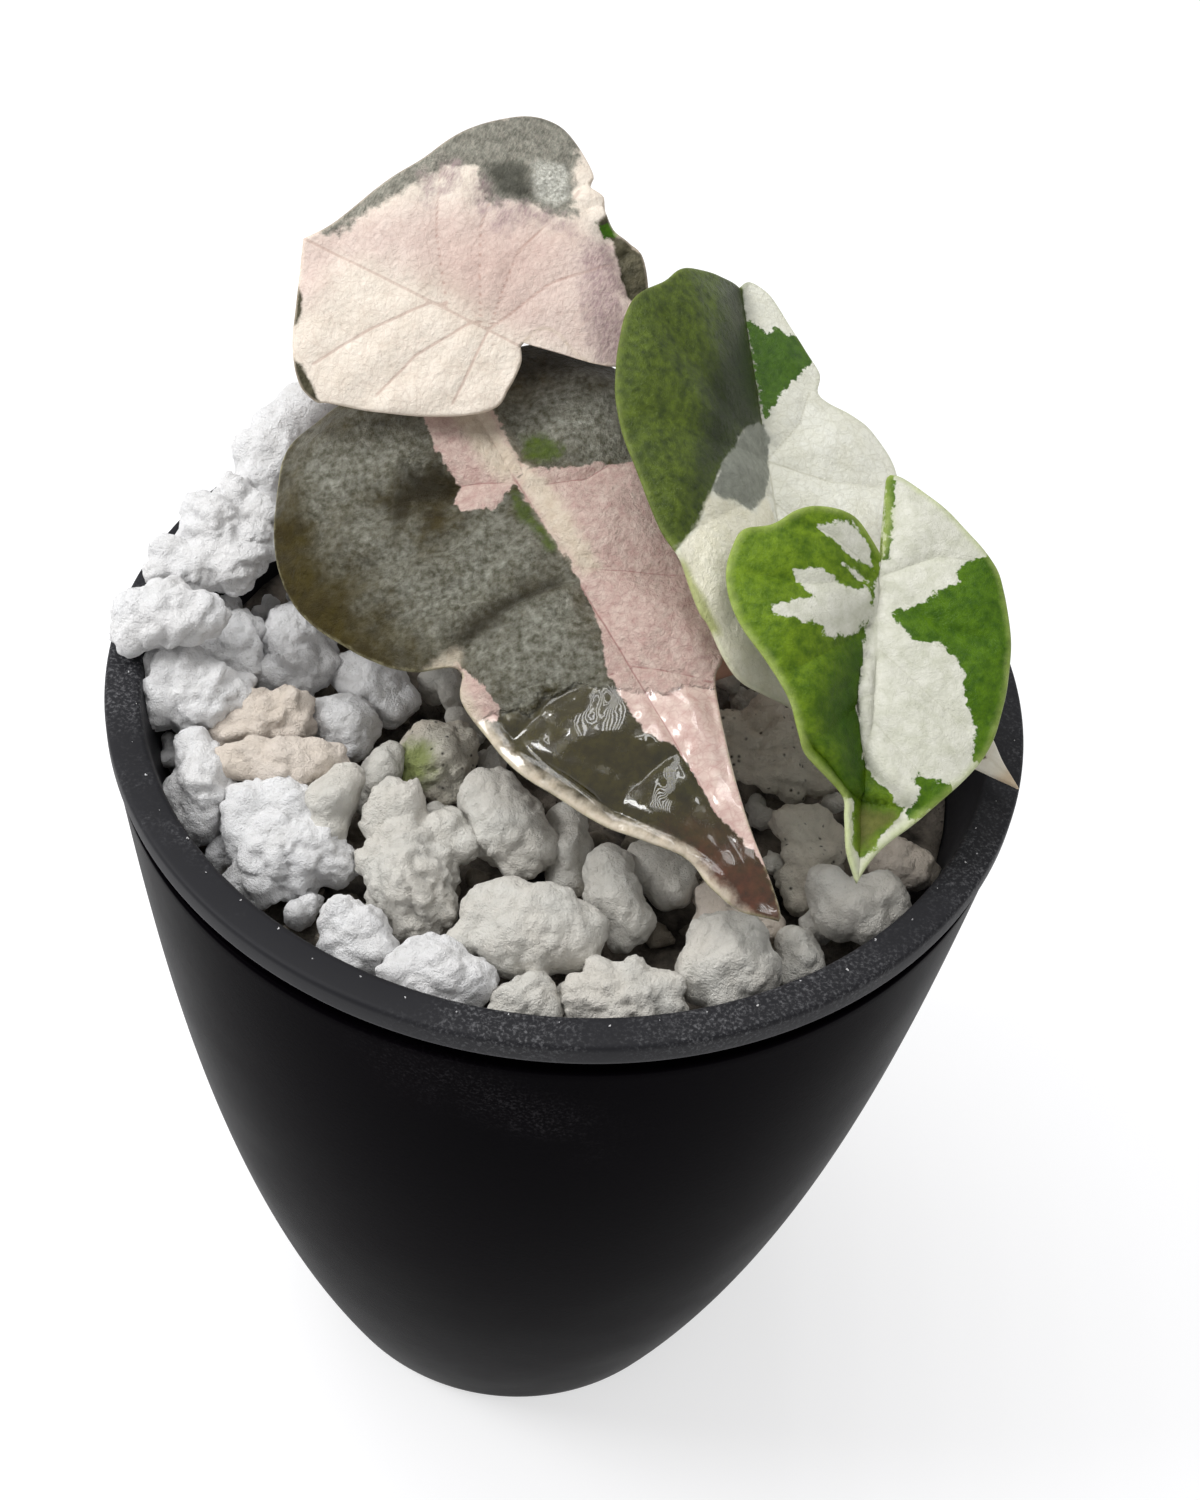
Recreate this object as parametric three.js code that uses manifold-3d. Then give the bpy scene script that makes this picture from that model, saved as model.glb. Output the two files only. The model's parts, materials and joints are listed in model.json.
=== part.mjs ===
// A young variegated Alocasia cuprea in a black liner pot that stands inside a black outer pot.
// Millimetres, +Z up, origin at the centre of the outer pot's foot.

import * as THREE from 'three';
import { mergeVertices } from 'three/addons/utils/BufferGeometryUtils.js';
import Module from 'manifold-3d';

const wasm = await Module();
wasm.setup();

const GAP = 0.3;               // clearance between pieces that touch
const UP = new THREE.Vector3(0, 0, 1);

// Outer pot: an egg-shaped shell on a small flat foot
const OUTER_HEIGHT = 115.4;
const OUTER_RIM_RADIUS = 52;
const OUTER_TAPER = 9.5;       // straight part of the narrowing from rim to foot
const OUTER_ROUNDING = 13;     // curved part of the narrowing, gathered near the foot
const OUTER_ROUNDING_POWER = 2.6;
const OUTER_WALL = 2.2;
const OUTER_FLOOR = 3;
const OUTER_FOOT_ROUND = 2.2;
const OUTER_WALL_STEPS = 16;
const POT_SEGMENTS = 56;

// Liner pot: a straight cone with a flat-topped lip, standing on four feet in the outer pot
const LIP_TOP = 120.5;
const LIP_RADIUS = 52.5;
const LIP_WIDTH = 4;
const LIP_THICKNESS = 3;
const LIP_EDGE = 0.6;          // bevel on the lip's corners
const LINER_WALL = 1.6;
const LINER_FLOOR_TOP = 14;
const LINER_FLOOR_RADIUS = 29.4;
const LINER_FOOT = { count: 4, ring: 20, width: 7 };
const FLOOR_SLOT = { count: 6, inner: 8, outer: 20, width: 3 };
const WALL_SLOT = { count: 8, bottom: 18, top: 34, width: 3, depth: 12 };
const CUT_MARGIN = 1;          // how far a cutting block runs past both faces of a wall

// Fill of coarse perlite: a packed bed with separate granules lying on top
const BED_TOP = 108;
const BED_SEGMENTS = 40;
const GRANULE_DETAIL = 1;      // faces of an icosahedron, split once
const GRANULE_LUMPS = 0.13;    // how far the lumps stand out, as a share of the radius
const GRANULE_LUMP_PITCH = 5;  // larger numbers make more and smaller lumps
const GRANULE_TRIM = 0.97;     // step by which a point is drawn in to clear the liner

// Plant
const CROWN = new THREE.Vector3(4, 9, 110);
const CORM_RADIUS = 6;
const CORM_HEIGHT = 15;
const CORM_STEPS = 8;
const CORM_SEGMENTS = 16;
const BLADE_THICKNESS = 0.7;

const FINISH = {
  outerPot: { color: 0x0d0b10, roughness: 0.35, metalness: 0 },
  liner: { color: 0x3a3d42, roughness: 0.7, metalness: 0 },
  perlite: { color: 0xeeeef0, roughness: 0.95, metalness: 0 },
  stainedPerlite: { color: 0xc9c4a8, roughness: 0.95, metalness: 0 },
  corm: { color: 0x6b4a32, roughness: 0.9, metalness: 0 },
  root: { color: 0xe6ddc8, roughness: 0.8, metalness: 0 },
  petiole: { color: 0xc9a08c, roughness: 0.5, metalness: 0 },
  pinkBlade: { color: 0xe0cdc8, roughness: 0.5, metalness: 0 },
  copperBlade: { color: 0x5a5444, roughness: 0.35, metalness: 0.2 },
  darkGreenBlade: { color: 0x4a5a22, roughness: 0.45, metalness: 0 },
  brightGreenBlade: { color: 0x7fa51c, roughness: 0.4, metalness: 0 },
  whiteBlade: { color: 0xe4e0d4, roughness: 0.5, metalness: 0 },
};

// Granules that lie on top. at is the middle, half the half width, half depth and half height,
// turn the angle about +Z in degrees. A granule with onLip lies across the liner's lip.
const GRANULES = [
  { at: [-37, 24.5, 127], half: [5.2, 7, 7.5], turn: 0, onLip: true },
  { at: [-43.5, 14.5, 123.5], half: [8, 6.5, 5.5], turn: -10, onLip: true },
  { at: [-46, -2, 124], half: [6.5, 4, 3.8], turn: -8, onLip: true },
  { at: [-41.5, -5.5, 116.5], half: [6.6, 5.5, 4.5], turn: -10 },
  { at: [-39, 3, 116], half: [4.2, 4, 4], turn: 0 },
  { at: [-33, 5, 115], half: [5.1, 6.5, 6], turn: 20 },
  { at: [-34.5, -8, 115], half: [6, 4, 3.6], turn: 12 },
  { at: [-31.5, -15, 116], half: [7.4, 3.5, 3.5], turn: -8 },
  { at: [-25.5, -5, 113], half: [4, 4, 4], turn: 0 },
  { at: [-23, 1.5, 113], half: [4.8, 5, 4.5], turn: 0 },
  { at: [-14.5, -8.5, 112], half: [4.9, 5, 4.5], turn: 0, stained: true },
  { at: [-39.5, -17.5, 114], half: [4.2, 7.5, 5.5], turn: 0 },
  { at: [-24.5, -20, 116], half: [3, 4.5, 4.6], turn: -20 },
  { at: [-20, -12.5, 114], half: [2.8, 4, 3], turn: -25 },
  { at: [-29, -24, 112], half: [7.2, 7, 6], turn: 10 },
  { at: [-15.5, -26, 113], half: [5.3, 9, 6.5], turn: 0 },
  { at: [-11, -21.5, 113], half: [2.7, 3, 2.6], turn: 0 },
  { at: [-5.5, -19.5, 115], half: [5.4, 6, 5.4], turn: 15 },
  { at: [1.5, -19.5, 112], half: [2.9, 5.5, 4.6], turn: 0 },
  { at: [-1.5, -33, 115], half: [8.8, 6, 5], turn: -5 },
  { at: [7.5, -26.5, 112], half: [3.8, 6, 5], turn: 20 },
  { at: [13, -21.5, 112], half: [5, 4, 3.6], turn: 0 },
  { at: [-19.5, -35.5, 113], half: [4.4, 4.5, 4], turn: -30 },
  { at: [-10.5, -40, 114], half: [6.4, 4.2, 3.8], turn: -12 },
  { at: [-1.5, -42, 113], half: [4, 3.2, 3], turn: 0 },
  { at: [9, -40.5, 114], half: [6.8, 4.5, 4], turn: 0 },
  { at: [20, -35, 114], half: [5.6, 5.4, 5], turn: 0 },
  { at: [28, -31, 111], half: [2.8, 4, 3.4], turn: 0 },
  { at: [20, -23, 112], half: [5, 4, 3.4], turn: 0 },
  { at: [29, -17.5, 111], half: [4.2, 6, 5], turn: 0, stained: true },
  { at: [34, -26, 115], half: [5.8, 4.2, 4], turn: 15 },
  { at: [39, -17, 112], half: [4.7, 3.6, 3], turn: 10 },
  { at: [24.5, -2, 113], half: [7.6, 6.5, 5], turn: 0, stained: true },
  { at: [-22, 36, 114], half: [7, 6, 5], turn: 20 },
  { at: [-8, 42, 113], half: [6, 5, 4.5], turn: 0 },
  { at: [7, 40, 113], half: [7.5, 5, 5], turn: -15 },
  { at: [21, 35, 113], half: [5.5, 6, 4.5], turn: 30 },
  { at: [33, 26, 113], half: [6.5, 5, 5], turn: -40 },
  { at: [42, 12, 113], half: [4.5, 6.5, 4.5], turn: 0 },
  { at: [-20, 22, 112.5], half: [6, 5.5, 4.3], turn: 10 },
  { at: [-30, 15.5, 113], half: [5, 5, 4.6], turn: 0 },
  { at: [14, 26, 112.5], half: [5, 4.5, 4], turn: 0 },
];

// Petioles rise from the crown to the underside of their blade. start is where each one leaves
// the crown, measured from its middle, and via are the points that it bends past.
// A blade lies in its own frame: u runs along the midrib from the petiole to the tip, v to the
// left of it. heading, dip and roll turn that frame, in degrees. rise and curl are how each half
// lifts off the midrib and bends back, arch bows the midrib and droop bends the lobes down.
const LEAVES = [
  {
    name: 'pink',
    finish: 'pinkBlade',
    junction: [-13, 21.5, 151], heading: 164, dip: -13, roll: -40, length: 23,
    riseLeft: 0.02, curlLeft: 0.009, riseRight: 0.12, curlRight: 0.013, arch: 0.05, droop: 0.006,
    sinus: -4,
    left: [[-4.5, 4.5], [-5, 7], [-2, 9], [1.5, 11.5], [7, 13.5], [12.5, 15], [14, 15.5],
      [16.5, 14.5], [19, 11], [21, 5.5]],
    right: [[-9, -3], [-14.5, -3], [-16, -4.5], [-16, -8.5], [-13.5, -13], [-10, -17],
      [-6.5, -17.5], [-3.5, -20.5], [1, -24.5], [4.5, -25.5], [8, -24], [12, -19], [14, -14],
      [17, -8.5], [20, -3]],
    start: [-2, 3.2], via: [[-5.5, 25, 125], [-13, 29.5, 142.5]],
  },
  {
    name: 'copper',
    finish: 'copperBlade',
    junction: [-8.5, 11, 139], heading: -55, dip: 16, roll: 19, length: 59,
    riseLeft: -0.05, curlLeft: 0.008, riseRight: 0, curlRight: 0.004, arch: 0.12, droop: 0.004,
    sinus: -11,
    left: [[-15, 5], [-15.5, 10], [-13.5, 12], [-11.5, 14.5], [-8.5, 17], [-4, 19.5], [2, 20],
      [9.5, 18], [17, 14.5], [24, 11], [30.5, 9.5], [33.5, 7], [46, 3], [57, 1]],
    right: [[-16.5, -3], [-19, -8], [-19.5, -14], [-18, -20.5], [-11, -25.5], [-5, -28], [2, -28],
      [10, -24.5], [15, -20.5], [17.5, -16], [21, -17.5], [26.5, -17], [31.5, -16],
      [36.5, -13.5], [41, -11], [45.5, -7.5], [49, -5], [52.5, -4.5], [56, -3]],
    start: [-3.6, -1.2], via: [[-1, 8, 122], [-7, 13, 134.5]],
  },
  {
    name: 'dark_green',
    finish: 'darkGreenBlade',
    junction: [19.5, 16, 141], heading: -77, dip: 28, roll: -15, length: 29.5,
    riseLeft: 0, curlLeft: 0.004, riseRight: 0.75, curlRight: 0.022, arch: 0.1, droop: 0.002,
    sinus: -22,
    left: [[-23, 1.5], [-22, 3.5], [-20, 5], [-16.5, 6.5], [-12, 9], [-9, 8.5], [-7, 12.5],
      [-5, 15.5], [-0.5, 18], [5.5, 17.5], [11, 13.5], [16, 10], [22, 6.5], [27, 3]],
    right: [[-22, -2.5], [-21, -9.5], [-18.5, -13], [-15.5, -17.5], [-9.5, -20], [-3.5, -21],
      [1.5, -20.5], [6, -19.5], [11.5, -18], [15.5, -16], [20.5, -14.5], [22, -13.5],
      [26, -11.5], [28, -9], [29, -4.5]],
    start: [2.2, 3.2], via: [[12, 17, 124], [17.5, 18.5, 137]],
  },
  {
    name: 'bright_green',
    finish: 'brightGreenBlade',
    junction: [32, -1.5, 141], heading: -90, dip: 30, roll: -8, length: 33.5,
    riseLeft: 0.25, curlLeft: 0.01, riseRight: 0.55, curlRight: 0.022, arch: 0.14, droop: 0.004,
    sinus: -2.5,
    left: [[-6.5, 0.5], [-12, 0.5], [-9.5, 5.5], [-4, 11.5], [-0.5, 13.5], [5.5, 14.5],
      [12.5, 14], [19, 12], [25.5, 6.5], [30, 2]],
    right: [[-4, -1.5], [-6, -4], [-6, -8], [-5, -10.5], [-3, -13], [-2, -16], [0, -17],
      [3, -17.5], [6, -17], [9, -15.5], [12, -13], [16, -10], [19.5, -8.5], [21.5, -7],
      [24.5, -2.5], [27, -2], [30.5, -1.5]],
    start: [0.6, -4.2], via: [[18, 4.5, 120], [35, 4, 128], [34.5, 1.5, 135.5]],
  },
  {
    name: 'small_white',
    finish: 'whiteBlade',
    junction: [39.5, -2.5, 125], heading: -48, dip: 4, roll: 10, length: 16,
    riseLeft: 0, curlLeft: 0, riseRight: 0, curlRight: 0, arch: 0.05, droop: 0,
    sinus: -1,
    left: [[-0.5, 3], [3.5, 3], [8.5, 2.5], [12.5, 1]],
    right: [[-1, -2], [3, -2.5], [8, -3], [12.5, -1.5]],
    start: [4.2, 0], via: [[20, 14, 115], [35, 3, 118.5], [39.5, -1.5, 121]],
  },
];
const BLADE_ROWS = 18;
const BLADE_COLUMNS = 4;
const SPINE_POWER = 1.6;       // gathers the cross lines of the lobes near the petiole
const SPINE_END = 0.9;         // where the last cross line leaves the midrib, as a share of it
const PETIOLE = { base: 1.7, tip: 1.1, sides: 8, steps: 12 };

const ROOTS = [
  [[2, 7, 95.4], [-6, 1, 80], [-12, -6, 62], [-10, -10, 45]],
  [[6, 11, 95.4], [13, 16, 78], [17, 14, 58], [13, 6, 40]],
  [[3, 12, 95.6], [-2, 20, 76], [-9, 22, 60], [-8, 16, 44]],
];
const ROOT = { base: 1.4, tip: 0.8, sides: 8, steps: 10 };
const THROAT = { base: ROOT.base, tip: ROOT.base, sides: ROOT.sides, steps: 1 };

const plant = new THREE.Group();

function addMesh(name, geometry, finish) {
  const mesh = new THREE.Mesh(geometry, new THREE.MeshStandardMaterial(FINISH[finish]));
  mesh.name = name;
  plant.add(mesh);
}

// A copy with positions only, its shared vertices merged.
function bare(geometry) {
  const copy = geometry.clone();
  for (const key of Object.keys(copy.attributes)) {
    if (key !== 'position') copy.deleteAttribute(key);
  }
  return mergeVertices(copy, 1e-4);
}

function toSolid(geometry) {
  const merged = bare(geometry);
  return new wasm.Manifold(new wasm.Mesh({
    numProp: 3,
    vertProperties: merged.attributes.position.array,
    triVerts: new Uint32Array(merged.index.array),
  }));
}

function toGeometry(solid) {
  const { vertProperties, triVerts, numProp } = solid.getMesh();
  const geometry = new THREE.BufferGeometry();
  const count = vertProperties.length / numProp;
  const position = new Float32Array(count * 3);
  for (let i = 0; i < count; i += 1) {
    position.set(vertProperties.subarray(i * numProp, i * numProp + 3), i * 3);
  }
  geometry.setAttribute('position', new THREE.BufferAttribute(position, 3));
  geometry.setIndex(Array.from(triVerts));
  return geometry;
}

// A body of revolution about +Z from [radius, height] pairs, ordered so that it faces outward.
function lathe(profile, segments) {
  const points = profile.map(([radius, height]) => new THREE.Vector2(radius, height));
  return new THREE.LatheGeometry(points, segments).rotateX(Math.PI / 2);
}

function block(width, depth, bottom, top, radius, angle) {
  const box = new THREE.BoxGeometry(depth, width, top - bottom);
  return box.translate(radius, 0, (bottom + top) / 2).rotateZ(angle);
}

function outerRadius(height) {
  const fall = 1 - height / OUTER_HEIGHT;
  return OUTER_RIM_RADIUS - OUTER_TAPER * fall - OUTER_ROUNDING * fall ** OUTER_ROUNDING_POWER;
}

function makeOuterPot() {
  const outside = [];
  const inside = [];
  for (let i = 0; i <= OUTER_WALL_STEPS; i += 1) {
    const share = i / OUTER_WALL_STEPS;
    const height = OUTER_FOOT_ROUND + (OUTER_HEIGHT - OUTER_FOOT_ROUND) * share;
    outside.push([outerRadius(height), height]);
    if (height > OUTER_FLOOR) inside.push([outerRadius(height) - OUTER_WALL, height]);
  }
  const footRadius = outerRadius(OUTER_FOOT_ROUND) - OUTER_FOOT_ROUND;
  const floorRadius = outerRadius(OUTER_FLOOR) - OUTER_WALL - 1;
  return lathe([[0, 0], [footRadius, 0], ...outside, ...inside.reverse(),
    [floorRadius, OUTER_FLOOR], [0, OUTER_FLOOR]], POT_SEGMENTS);
}

// Radius of the liner's inner face at a height, a straight cone up to the lip.
const LINER_MOUTH = LIP_RADIUS - LIP_WIDTH;
function linerRadius(height) {
  const share = (height - LINER_FLOOR_TOP) / (LIP_TOP - LINER_FLOOR_TOP);
  return LINER_FLOOR_RADIUS + (LINER_MOUTH - LINER_FLOOR_RADIUS) * share;
}

function makeLiner() {
  const flangeUnder = LIP_TOP - LIP_THICKNESS;
  const floorUnder = LINER_FLOOR_TOP - LINER_WALL;
  let solid = toSolid(lathe([
    [0, floorUnder],
    [linerRadius(floorUnder) + LINER_WALL, floorUnder],
    [linerRadius(flangeUnder) + LINER_WALL, flangeUnder],
    [LIP_RADIUS - LIP_EDGE, flangeUnder],
    [LIP_RADIUS, flangeUnder + LIP_EDGE],
    [LIP_RADIUS, LIP_TOP - LIP_EDGE],
    [LIP_RADIUS - LIP_EDGE, LIP_TOP],
    [LINER_MOUTH + LIP_EDGE, LIP_TOP],
    [LINER_MOUTH, LIP_TOP - LIP_EDGE],
    [linerRadius(LINER_FLOOR_TOP), LINER_FLOOR_TOP],
    [0, LINER_FLOOR_TOP],
  ], POT_SEGMENTS));
  for (let i = 0; i < LINER_FOOT.count; i += 1) {
    const angle = (i + 0.5) * 2 * Math.PI / LINER_FOOT.count;
    const foot = block(LINER_FOOT.width, LINER_FOOT.width, OUTER_FLOOR + GAP, floorUnder + LINER_WALL / 2,
      LINER_FOOT.ring, angle);
    solid = solid.add(toSolid(foot));
  }
  for (let i = 0; i < FLOOR_SLOT.count; i += 1) {
    const angle = (i + 0.25) * 2 * Math.PI / FLOOR_SLOT.count;
    const slot = block(FLOOR_SLOT.width, FLOOR_SLOT.outer - FLOOR_SLOT.inner,
      floorUnder - CUT_MARGIN, LINER_FLOOR_TOP + CUT_MARGIN,
      (FLOOR_SLOT.inner + FLOOR_SLOT.outer) / 2, angle);
    solid = solid.subtract(toSolid(slot));
  }
  for (let i = 0; i < WALL_SLOT.count; i += 1) {
    const angle = i * 2 * Math.PI / WALL_SLOT.count;
    const slot = block(WALL_SLOT.width, WALL_SLOT.depth, WALL_SLOT.bottom, WALL_SLOT.top,
      linerRadius(WALL_SLOT.top), angle);
    solid = solid.subtract(toSolid(slot));
  }
  return toGeometry(solid);
}

// Closed skin over rings of points that all have the same count, with a flat cap at each end.
function loft(rings) {
  const sides = rings[0].length;
  const position = rings.flat().flatMap((p) => [p.x, p.y, p.z]);
  const index = [];
  for (let r = 0; r < rings.length - 1; r += 1) {
    for (let s = 0; s < sides; s += 1) {
      const a = r * sides + s;
      const b = r * sides + (s + 1) % sides;
      index.push(a, b, b + sides, a, b + sides, a + sides);
    }
  }
  const last = (rings.length - 1) * sides;
  for (let s = 1; s < sides - 1; s += 1) {
    index.push(0, s + 1, s);
    index.push(last, last + s, last + s + 1);
  }
  const geometry = new THREE.BufferGeometry();
  geometry.setAttribute('position', new THREE.Float32BufferAttribute(position, 3));
  geometry.setIndex(index);
  return geometry;
}

// A round stem along a curve that thins from base to tip, grown by extra for a cavity around it.
function stem(points, { base, tip, sides, steps }, extra = 0) {
  const curve = new THREE.CatmullRomCurve3(points);
  const frames = curve.computeFrenetFrames(steps);
  const rings = [];
  for (let i = 0; i <= steps; i += 1) {
    const middle = curve.getPointAt(i / steps);
    const radius = base + (tip - base) * (i / steps) + extra;
    const ring = [];
    for (let s = 0; s < sides; s += 1) {
      const angle = 2 * Math.PI * s / sides;
      ring.push(middle.clone()
        .addScaledVector(frames.normals[i], radius * Math.cos(angle))
        .addScaledVector(frames.binormals[i], radius * Math.sin(angle)));
    }
    rings.push(ring);
  }
  return loft(rings);
}

function makeCorm(extra = 0) {
  const profile = [];
  for (let i = 0; i <= CORM_STEPS; i += 1) {
    const angle = -Math.PI / 2 + Math.PI * i / CORM_STEPS;
    const onAxis = i === 0 || i === CORM_STEPS;
    const radius = onAxis ? 0 : (CORM_RADIUS + extra) * Math.cos(angle);
    profile.push([radius, (CORM_HEIGHT / 2 + extra) * Math.sin(angle)]);
  }
  return lathe(profile, CORM_SEGMENTS).translate(CROWN.x, CROWN.y, CROWN.z - CORM_HEIGHT / 2);
}

// The bed fills the liner. The corm and the roots have their own room in it, open at the top.
function makeBed(rootPaths) {
  const bottom = LINER_FLOOR_TOP + GAP;
  let solid = toSolid(lathe([
    [0, bottom],
    [linerRadius(bottom) - GAP, bottom],
    [linerRadius(BED_TOP) - GAP, BED_TOP],
    [0, BED_TOP],
  ], BED_SEGMENTS));
  solid = solid.subtract(toSolid(makeCorm(GAP)));
  const heart = new THREE.Vector3(CROWN.x, CROWN.y, CROWN.z - CORM_HEIGHT / 2);
  for (const path of rootPaths) {
    const throat = [heart, path[0].clone().lerp(path[1], 0.1)];
    solid = solid.subtract(toSolid(stem(path, ROOT, GAP)));
    solid = solid.subtract(toSolid(stem(throat, THROAT, GAP)));
  }
  return toGeometry(solid);
}

// Reach of a turned ellipsoid along a unit direction.
function reach(granule, direction) {
  const local = direction.clone().applyAxisAngle(UP, -THREE.MathUtils.degToRad(granule.turn));
  return Math.hypot(local.x * granule.half[0], local.y * granule.half[1],
    local.z * granule.half[2]);
}

// Planes that part a granule from each neighbour: points p from its middle keep p.n <= limit.
function partings(granule, index) {
  const middle = new THREE.Vector3(...granule.at);
  const planes = [];
  GRANULES.forEach((other, otherIndex) => {
    if (otherIndex === index) return;
    const normal = new THREE.Vector3(...other.at).sub(middle);
    const distance = normal.length();
    normal.normalize();
    const own = reach(granule, normal);
    const theirs = reach(other, normal.clone().negate());
    const lumps = 1 + GRANULE_LUMPS;
    if ((own + theirs) * lumps < distance) return;
    planes.push({ normal, limit: distance * own / (own + theirs) - GAP / 2 });
  });
  return planes;
}

// A lumpy ellipsoid, trimmed where it meets its neighbours, the bed, the liner or the lip.
function makeGranule(granule, index) {
  const geometry = bare(new THREE.IcosahedronGeometry(1, GRANULE_DETAIL));
  const position = geometry.attributes.position;
  const middle = new THREE.Vector3(...granule.at);
  const planes = partings(granule, index);
  const floor = granule.onLip ? LIP_TOP + GAP : BED_TOP + GAP;
  const room = (granule.onLip ? LIP_RADIUS : linerRadius(BED_TOP)) - GAP;
  planes.push({ normal: UP.clone().negate(), limit: middle.z - floor });
  const point = new THREE.Vector3();
  for (let i = 0; i < position.count; i += 1) {
    point.fromBufferAttribute(position, i);
    const lump = Math.sin(GRANULE_LUMP_PITCH * point.x + index)
      + Math.sin(GRANULE_LUMP_PITCH * point.y + 2 * index)
      + Math.sin(GRANULE_LUMP_PITCH * point.z + 3 * index);
    point.multiplyScalar(1 + GRANULE_LUMPS * lump / 3);
    point.multiply(new THREE.Vector3(...granule.half));
    point.applyAxisAngle(UP, THREE.MathUtils.degToRad(granule.turn));
    for (const { normal, limit } of planes) {
      const along = point.dot(normal);
      if (along > limit) point.multiplyScalar(limit / along);
    }
    while (Math.hypot(middle.x + point.x, middle.y + point.y) > room) {
      point.multiplyScalar(GRANULE_TRIM);
    }
    point.add(middle);
    position.setXYZ(i, point.x, point.y, point.z);
  }
  return geometry;
}

// Unit vectors of a blade's frame: along the midrib, to its left, and out of its upper face.
function bladeFrame({ junction, heading, dip, roll }) {
  const turn = THREE.MathUtils.degToRad(heading);
  const fall = THREE.MathUtils.degToRad(dip);
  const lean = THREE.MathUtils.degToRad(roll);
  const along = new THREE.Vector3(Math.cos(turn) * Math.cos(fall),
    Math.sin(turn) * Math.cos(fall), -Math.sin(fall));
  const level = new THREE.Vector3(-Math.sin(turn), Math.cos(turn), 0);
  const raised = along.clone().cross(level);
  const out = raised.multiplyScalar(Math.cos(lean)).addScaledVector(level, -Math.sin(lean));
  return { origin: new THREE.Vector3(...junction), along, left: out.clone().cross(along), out };
}

function bladeHeight(leaf, u, v) {
  const side = Math.abs(v);
  const ahead = Math.max(u, 0);
  const behind = Math.max(-u, 0);
  const half = v > 0
    ? leaf.riseLeft * side - leaf.curlLeft * side ** 2
    : leaf.riseRight * side - leaf.curlRight * side ** 2;
  return half + leaf.arch * ahead * (1 - ahead / leaf.length) - leaf.droop * behind ** 2;
}

// Evenly spaced points of one margin, from the sinus round the lobe to the tip.
function marginPoints(leaf, side, rows) {
  const points = [[leaf.sinus, 0], ...side, [leaf.length, 0]];
  return new THREE.SplineCurve(points.map(([u, v]) => new THREE.Vector2(u, v)))
    .getSpacedPoints(rows);
}

// A thin closed sheet: lines run from the midrib out to both margins, on both faces.
function makeBlade(leaf) {
  const rows = BLADE_ROWS;
  const columns = BLADE_COLUMNS;
  const { origin, along, left, out } = bladeFrame(leaf);
  const margins = {
    left: marginPoints(leaf, leaf.left, rows),
    right: marginPoints(leaf, leaf.right, rows),
  };
  const spineStart = leaf.sinus / 2;
  const spineEnd = leaf.length * SPINE_END;
  const position = [];
  const number = new Map();
  for (const face of [1, -1]) {
    for (let i = 0; i <= rows; i += 1) {
      const spine = spineStart + (spineEnd - spineStart) * (i / rows) ** SPINE_POWER;
      for (let j = -columns; j <= columns; j += 1) {
        const margin = j < 0 ? margins.right[i] : margins.left[i];
        const share = Math.abs(j) / columns;
        const u = spine + (margin.x - spine) * share;
        const v = margin.y * share;
        const lift = bladeHeight(leaf, u, v) + face * BLADE_THICKNESS / 2;
        const point = origin.clone().addScaledVector(along, u).addScaledVector(left, v)
          .addScaledVector(out, lift);
        number.set(`${face},${i},${j}`, position.length / 3);
        position.push(point.x, point.y, point.z);
      }
    }
  }
  const vertex = (face, i, j) => {
    const folded = i === 0 || i === rows ? Math.abs(j) : j;
    return number.get(`${face},${i},${folded}`);
  };
  const index = [];
  const quad = (a, b, c, d) => index.push(a, b, c, a, c, d);
  for (let i = 0; i < rows; i += 1) {
    for (let j = -columns; j < columns; j += 1) {
      quad(vertex(1, i, j), vertex(1, i + 1, j), vertex(1, i + 1, j + 1), vertex(1, i, j + 1));
      quad(vertex(-1, i, j), vertex(-1, i, j + 1), vertex(-1, i + 1, j + 1),
        vertex(-1, i + 1, j));
    }
    for (const j of [-columns, columns]) {
      const ends = j < 0 ? [i + 1, i] : [i, i + 1];
      quad(vertex(1, ends[0], j), vertex(1, ends[1], j), vertex(-1, ends[1], j),
        vertex(-1, ends[0], j));
    }
  }
  const clean = [];
  for (let t = 0; t < index.length; t += 3) {
    const [a, b, c] = index.slice(t, t + 3);
    if (a !== b && b !== c && c !== a) clean.push(a, b, c);
  }
  const geometry = new THREE.BufferGeometry();
  geometry.setAttribute('position', new THREE.Float32BufferAttribute(position, 3));
  geometry.setIndex(clean);
  return bare(geometry);
}

function petiolePath(leaf) {
  const { origin, out } = bladeFrame(leaf);
  const [startX, startY] = leaf.start;
  const inner = Math.max(Math.hypot(startX, startY) - PETIOLE.base, 0);
  const fall = CORM_HEIGHT / 2 * (1 - Math.sqrt(1 - (inner / CORM_RADIUS) ** 2));
  const foot = CROWN.clone().add(new THREE.Vector3(startX, startY, 1.5 * GAP - fall));
  const head = origin.clone().addScaledVector(out, -BLADE_THICKNESS / 2 - GAP);
  return [foot, ...leaf.via.map((p) => new THREE.Vector3(...p)), head];
}

addMesh('outer_pot', makeOuterPot(), 'outerPot');
addMesh('liner_pot', makeLiner(), 'liner');

const rootPaths = ROOTS.map((path) => path.map((p) => new THREE.Vector3(...p)));
addMesh('perlite_bed', makeBed(rootPaths), 'perlite');
GRANULES.forEach((granule, index) => {
  const label = String(index + 1).padStart(2, '0');
  addMesh(`perlite_${label}`, makeGranule(granule, index),
    granule.stained ? 'stainedPerlite' : 'perlite');
});

addMesh('corm', makeCorm(), 'corm');
rootPaths.forEach((path, index) => {
  addMesh(`root_${index + 1}`, stem(path, ROOT), 'root');
});
for (const leaf of LEAVES) {
  addMesh(`petiole_${leaf.name}`, stem(petiolePath(leaf), PETIOLE), 'petiole');
  addMesh(`leaf_${leaf.name}`, makeBlade(leaf), leaf.finish);
}

export default plant;
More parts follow.
